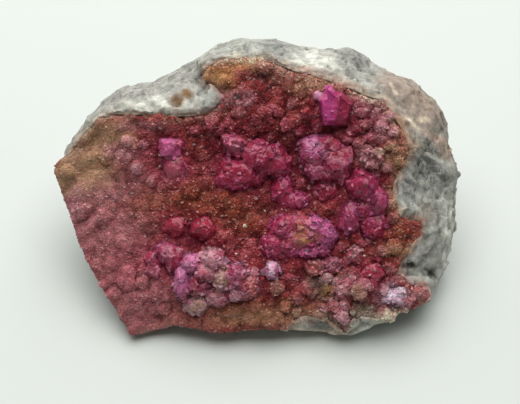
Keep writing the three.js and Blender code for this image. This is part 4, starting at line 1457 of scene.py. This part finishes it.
def add_shards(mesh, points, tints, grainy, pale, look, draws):
    """Stands small crystals on a group's large ones, thickest on the grainy groups."""
    _, triangles = mesh_arrays(mesh)
    spots, outward, beside = spread(points, triangles, look.shard_spacing, draws)
    kept = draws.random(len(spots)) < 0.06 + 0.9 * grainy
    spots, outward, beside = spots[kept], outward[kept], beside[kept]
    sizes = look.shard_size * np.exp(draws.normal(0, 0.3, len(spots)))
    shades = tints[beside] * 0.6 + pale * draws.uniform(0.1, 0.5, (len(spots), 1))
    frames = leaning_frames(outward, 0.4, draws)
    kind = (RHOMB, RHOMB_SIDES, spots - 0.2 * sizes[:, None] * outward, frames, sizes, shades)
    joined = bmesh.new()
    joined.from_mesh(mesh)
    joined.from_mesh(crystal_mesh("shards", [kind]))
    joined.to_mesh(mesh)
    joined.free()


class SPECIMEN_OT_crystals(bpy.types.Operator):
    """Grows the pink and magenta crystal groups that stand on the druse"""

    bl_idname = "specimen.crystals"
    bl_label = "Crystal groups"

    def execute(self, context):
        colours = palette()
        look = in_mm(context.scene.specimen_crystals)
        draws = np.random.default_rng(GROWTH_SEED)
        finish = grown_dolomite(
            "dolomite_cobaltoan_grown", gloss=0.18, level=0.24, glow=0.45, grain=0.5, rub=0.25
        )
        bed = surface_tree(*mesh_arrays(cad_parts[CRUST].data))
        for node, (edge, grainy, blocks) in GROWTHS.items():
            lobes = with_satellites(blocks, SATELLITES if grainy else 0, draws)
            foot = [on_face(np.array(landing(bed, u, v)))[2] for u, v, *_ in lobes]
            mesh = rebuilt(lobe_shell(lobes, foot, draws), 0, look.pitch)
            points, outward = shape_group(mesh, grainy, look, draws)
            relief = ridges(points, outward, edge_ends(mesh), 4)
            tints = group_tints(points, relief, lobes, foot, edge, look)
            paint(mesh, tints)
            mesh.shade_smooth()
            add_shards(mesh, points, tints, grainy, colours[edge], look, draws)
            set_piece(node + "_grown", mesh, finish, [node])
        return {"FINISHED"}


class SPECIMEN_OT_stage(bpy.types.Operator):
    """Lays the floor and sets the soft lights and the camera"""

    bl_idname = "specimen.stage"
    bl_label = "Stage"

    def execute(self, context):
        look = context.scene.specimen_stage
        reach = 2.0
        mesh = bpy.data.meshes.new("floor")
        mesh.from_pydata(
            [(-reach, -reach, 0), (reach, -reach, 0), (reach, reach, 0), (-reach, reach, 0)],
            [],
            [(0, 1, 2, 3)],
        )
        mesh.materials.append(studio_paper())
        floor = bpy.data.objects.new("floor", mesh)
        context.scene.collection.objects.link(floor)

        world = bpy.data.worlds.new("surround")
        world.use_nodes = True
        world.node_tree.nodes["Background"].inputs["Color"].default_value = (*linear("#fafffa"), 1)
        world.node_tree.nodes["Background"].inputs["Strength"].default_value = look.surround
        context.scene.world = world

        # One large soft light stands behind and above. Small ones make the crystal faces flash. Each has a
        # name, a place in metres, a width, a power and a colour.
        lights = (
            ("key", (-0.01, 0.2, 0.55), 0.8, look.key, "#fffffc"),
            ("glint_left", (-0.40, 0.10, 0.26), 0.012, look.glint, "#fff4dc"),
            ("glint_right", (0.38, 0.16, 0.30), 0.012, look.glint, "#ffeccc"),
            ("glint_back", (0.08, 0.46, 0.30), 0.012, look.glint, "#fff8ec"),
            ("glint_top", (-0.10, 0.02, 0.55), 0.012, look.glint, "#fffaf4"),
        )
        aim = Vector((0, 0, 0.015))
        for name, place, size, power, colour in lights:
            lamp = bpy.data.lights.new(name, "AREA")
            lamp.size, lamp.energy, lamp.color = size, power, linear(colour)
            stand = bpy.data.objects.new(name, lamp)
            stand.location = place
            stand.rotation_euler = (aim - stand.location).to_track_quat("-Z", "Y").to_euler()
            context.scene.collection.objects.link(stand)

        lens = bpy.data.cameras.new("camera")
        lens.lens, lens.sensor_width = look.lens, 36
        lens.clip_start, lens.clip_end = 0.01, 10
        camera = bpy.data.objects.new("camera", lens)
        ahead = Vector((0, math.cos(look.tilt), -math.sin(look.tilt)))
        up = Vector((0, math.sin(look.tilt), math.cos(look.tilt)))
        view_drop = 2.8
        target = Vector(FACE_DATUM) * MM - up * view_drop * MM
        camera.location = target - ahead * look.distance
        camera.rotation_euler = Matrix((Vector((1, 0, 0)), up, -ahead)).transposed().to_euler()
        context.scene.collection.objects.link(camera)
        context.scene.camera = camera
        context.scene.view_settings.view_transform = "Standard"
        return {"FINISHED"}


class SPECIMEN_PT_panel(bpy.types.Panel):
    """Every piece of the specimen and the sizes and colours that shape it"""

    bl_idname = "SPECIMEN_PT_panel"
    bl_label = "Dolomite specimen"
    bl_space_type = "VIEW_3D"
    bl_region_type = "UI"
    bl_category = "Specimen"

    def draw(self, context):
        for title, group in GROUPS.items():
            box = self.layout.box()
            box.label(text=title)
            for field in group.__annotations__:
                box.prop(getattr(context.scene, title), field)
        for operator in OPERATORS:
            self.layout.operator(operator.bl_idname)


GROUPS = {
    "specimen_palette": SpecimenPalette,
    "specimen_rock": RockLook,
    "specimen_druse": DruseLook,
    "specimen_crystals": CrystalLook,
    "specimen_stage": StageLook,
}
OPERATORS = (SPECIMEN_OT_rock, SPECIMEN_OT_druse, SPECIMEN_OT_crystals, SPECIMEN_OT_stage)


def register():
    """Adds the operators, the panel and the values they share."""
    for made in (*GROUPS.values(), *OPERATORS, SPECIMEN_PT_panel):
        bpy.utils.register_class(made)
    for title, group in GROUPS.items():
        setattr(bpy.types.Scene, title, bpy.props.PointerProperty(type=group))


def unregister():
    """Takes away what register added."""
    for title in GROUPS:
        delattr(bpy.types.Scene, title)
    for made in reversed((*GROUPS.values(), *OPERATORS, SPECIMEN_PT_panel)):
        bpy.utils.unregister_class(made)


def main():
    """Makes every piece in order."""
    register()
    bpy.ops.specimen.rock()
    bpy.ops.specimen.druse()
    bpy.ops.specimen.crystals()
    bpy.ops.specimen.stage()


if __name__ == "__main__":
    main()
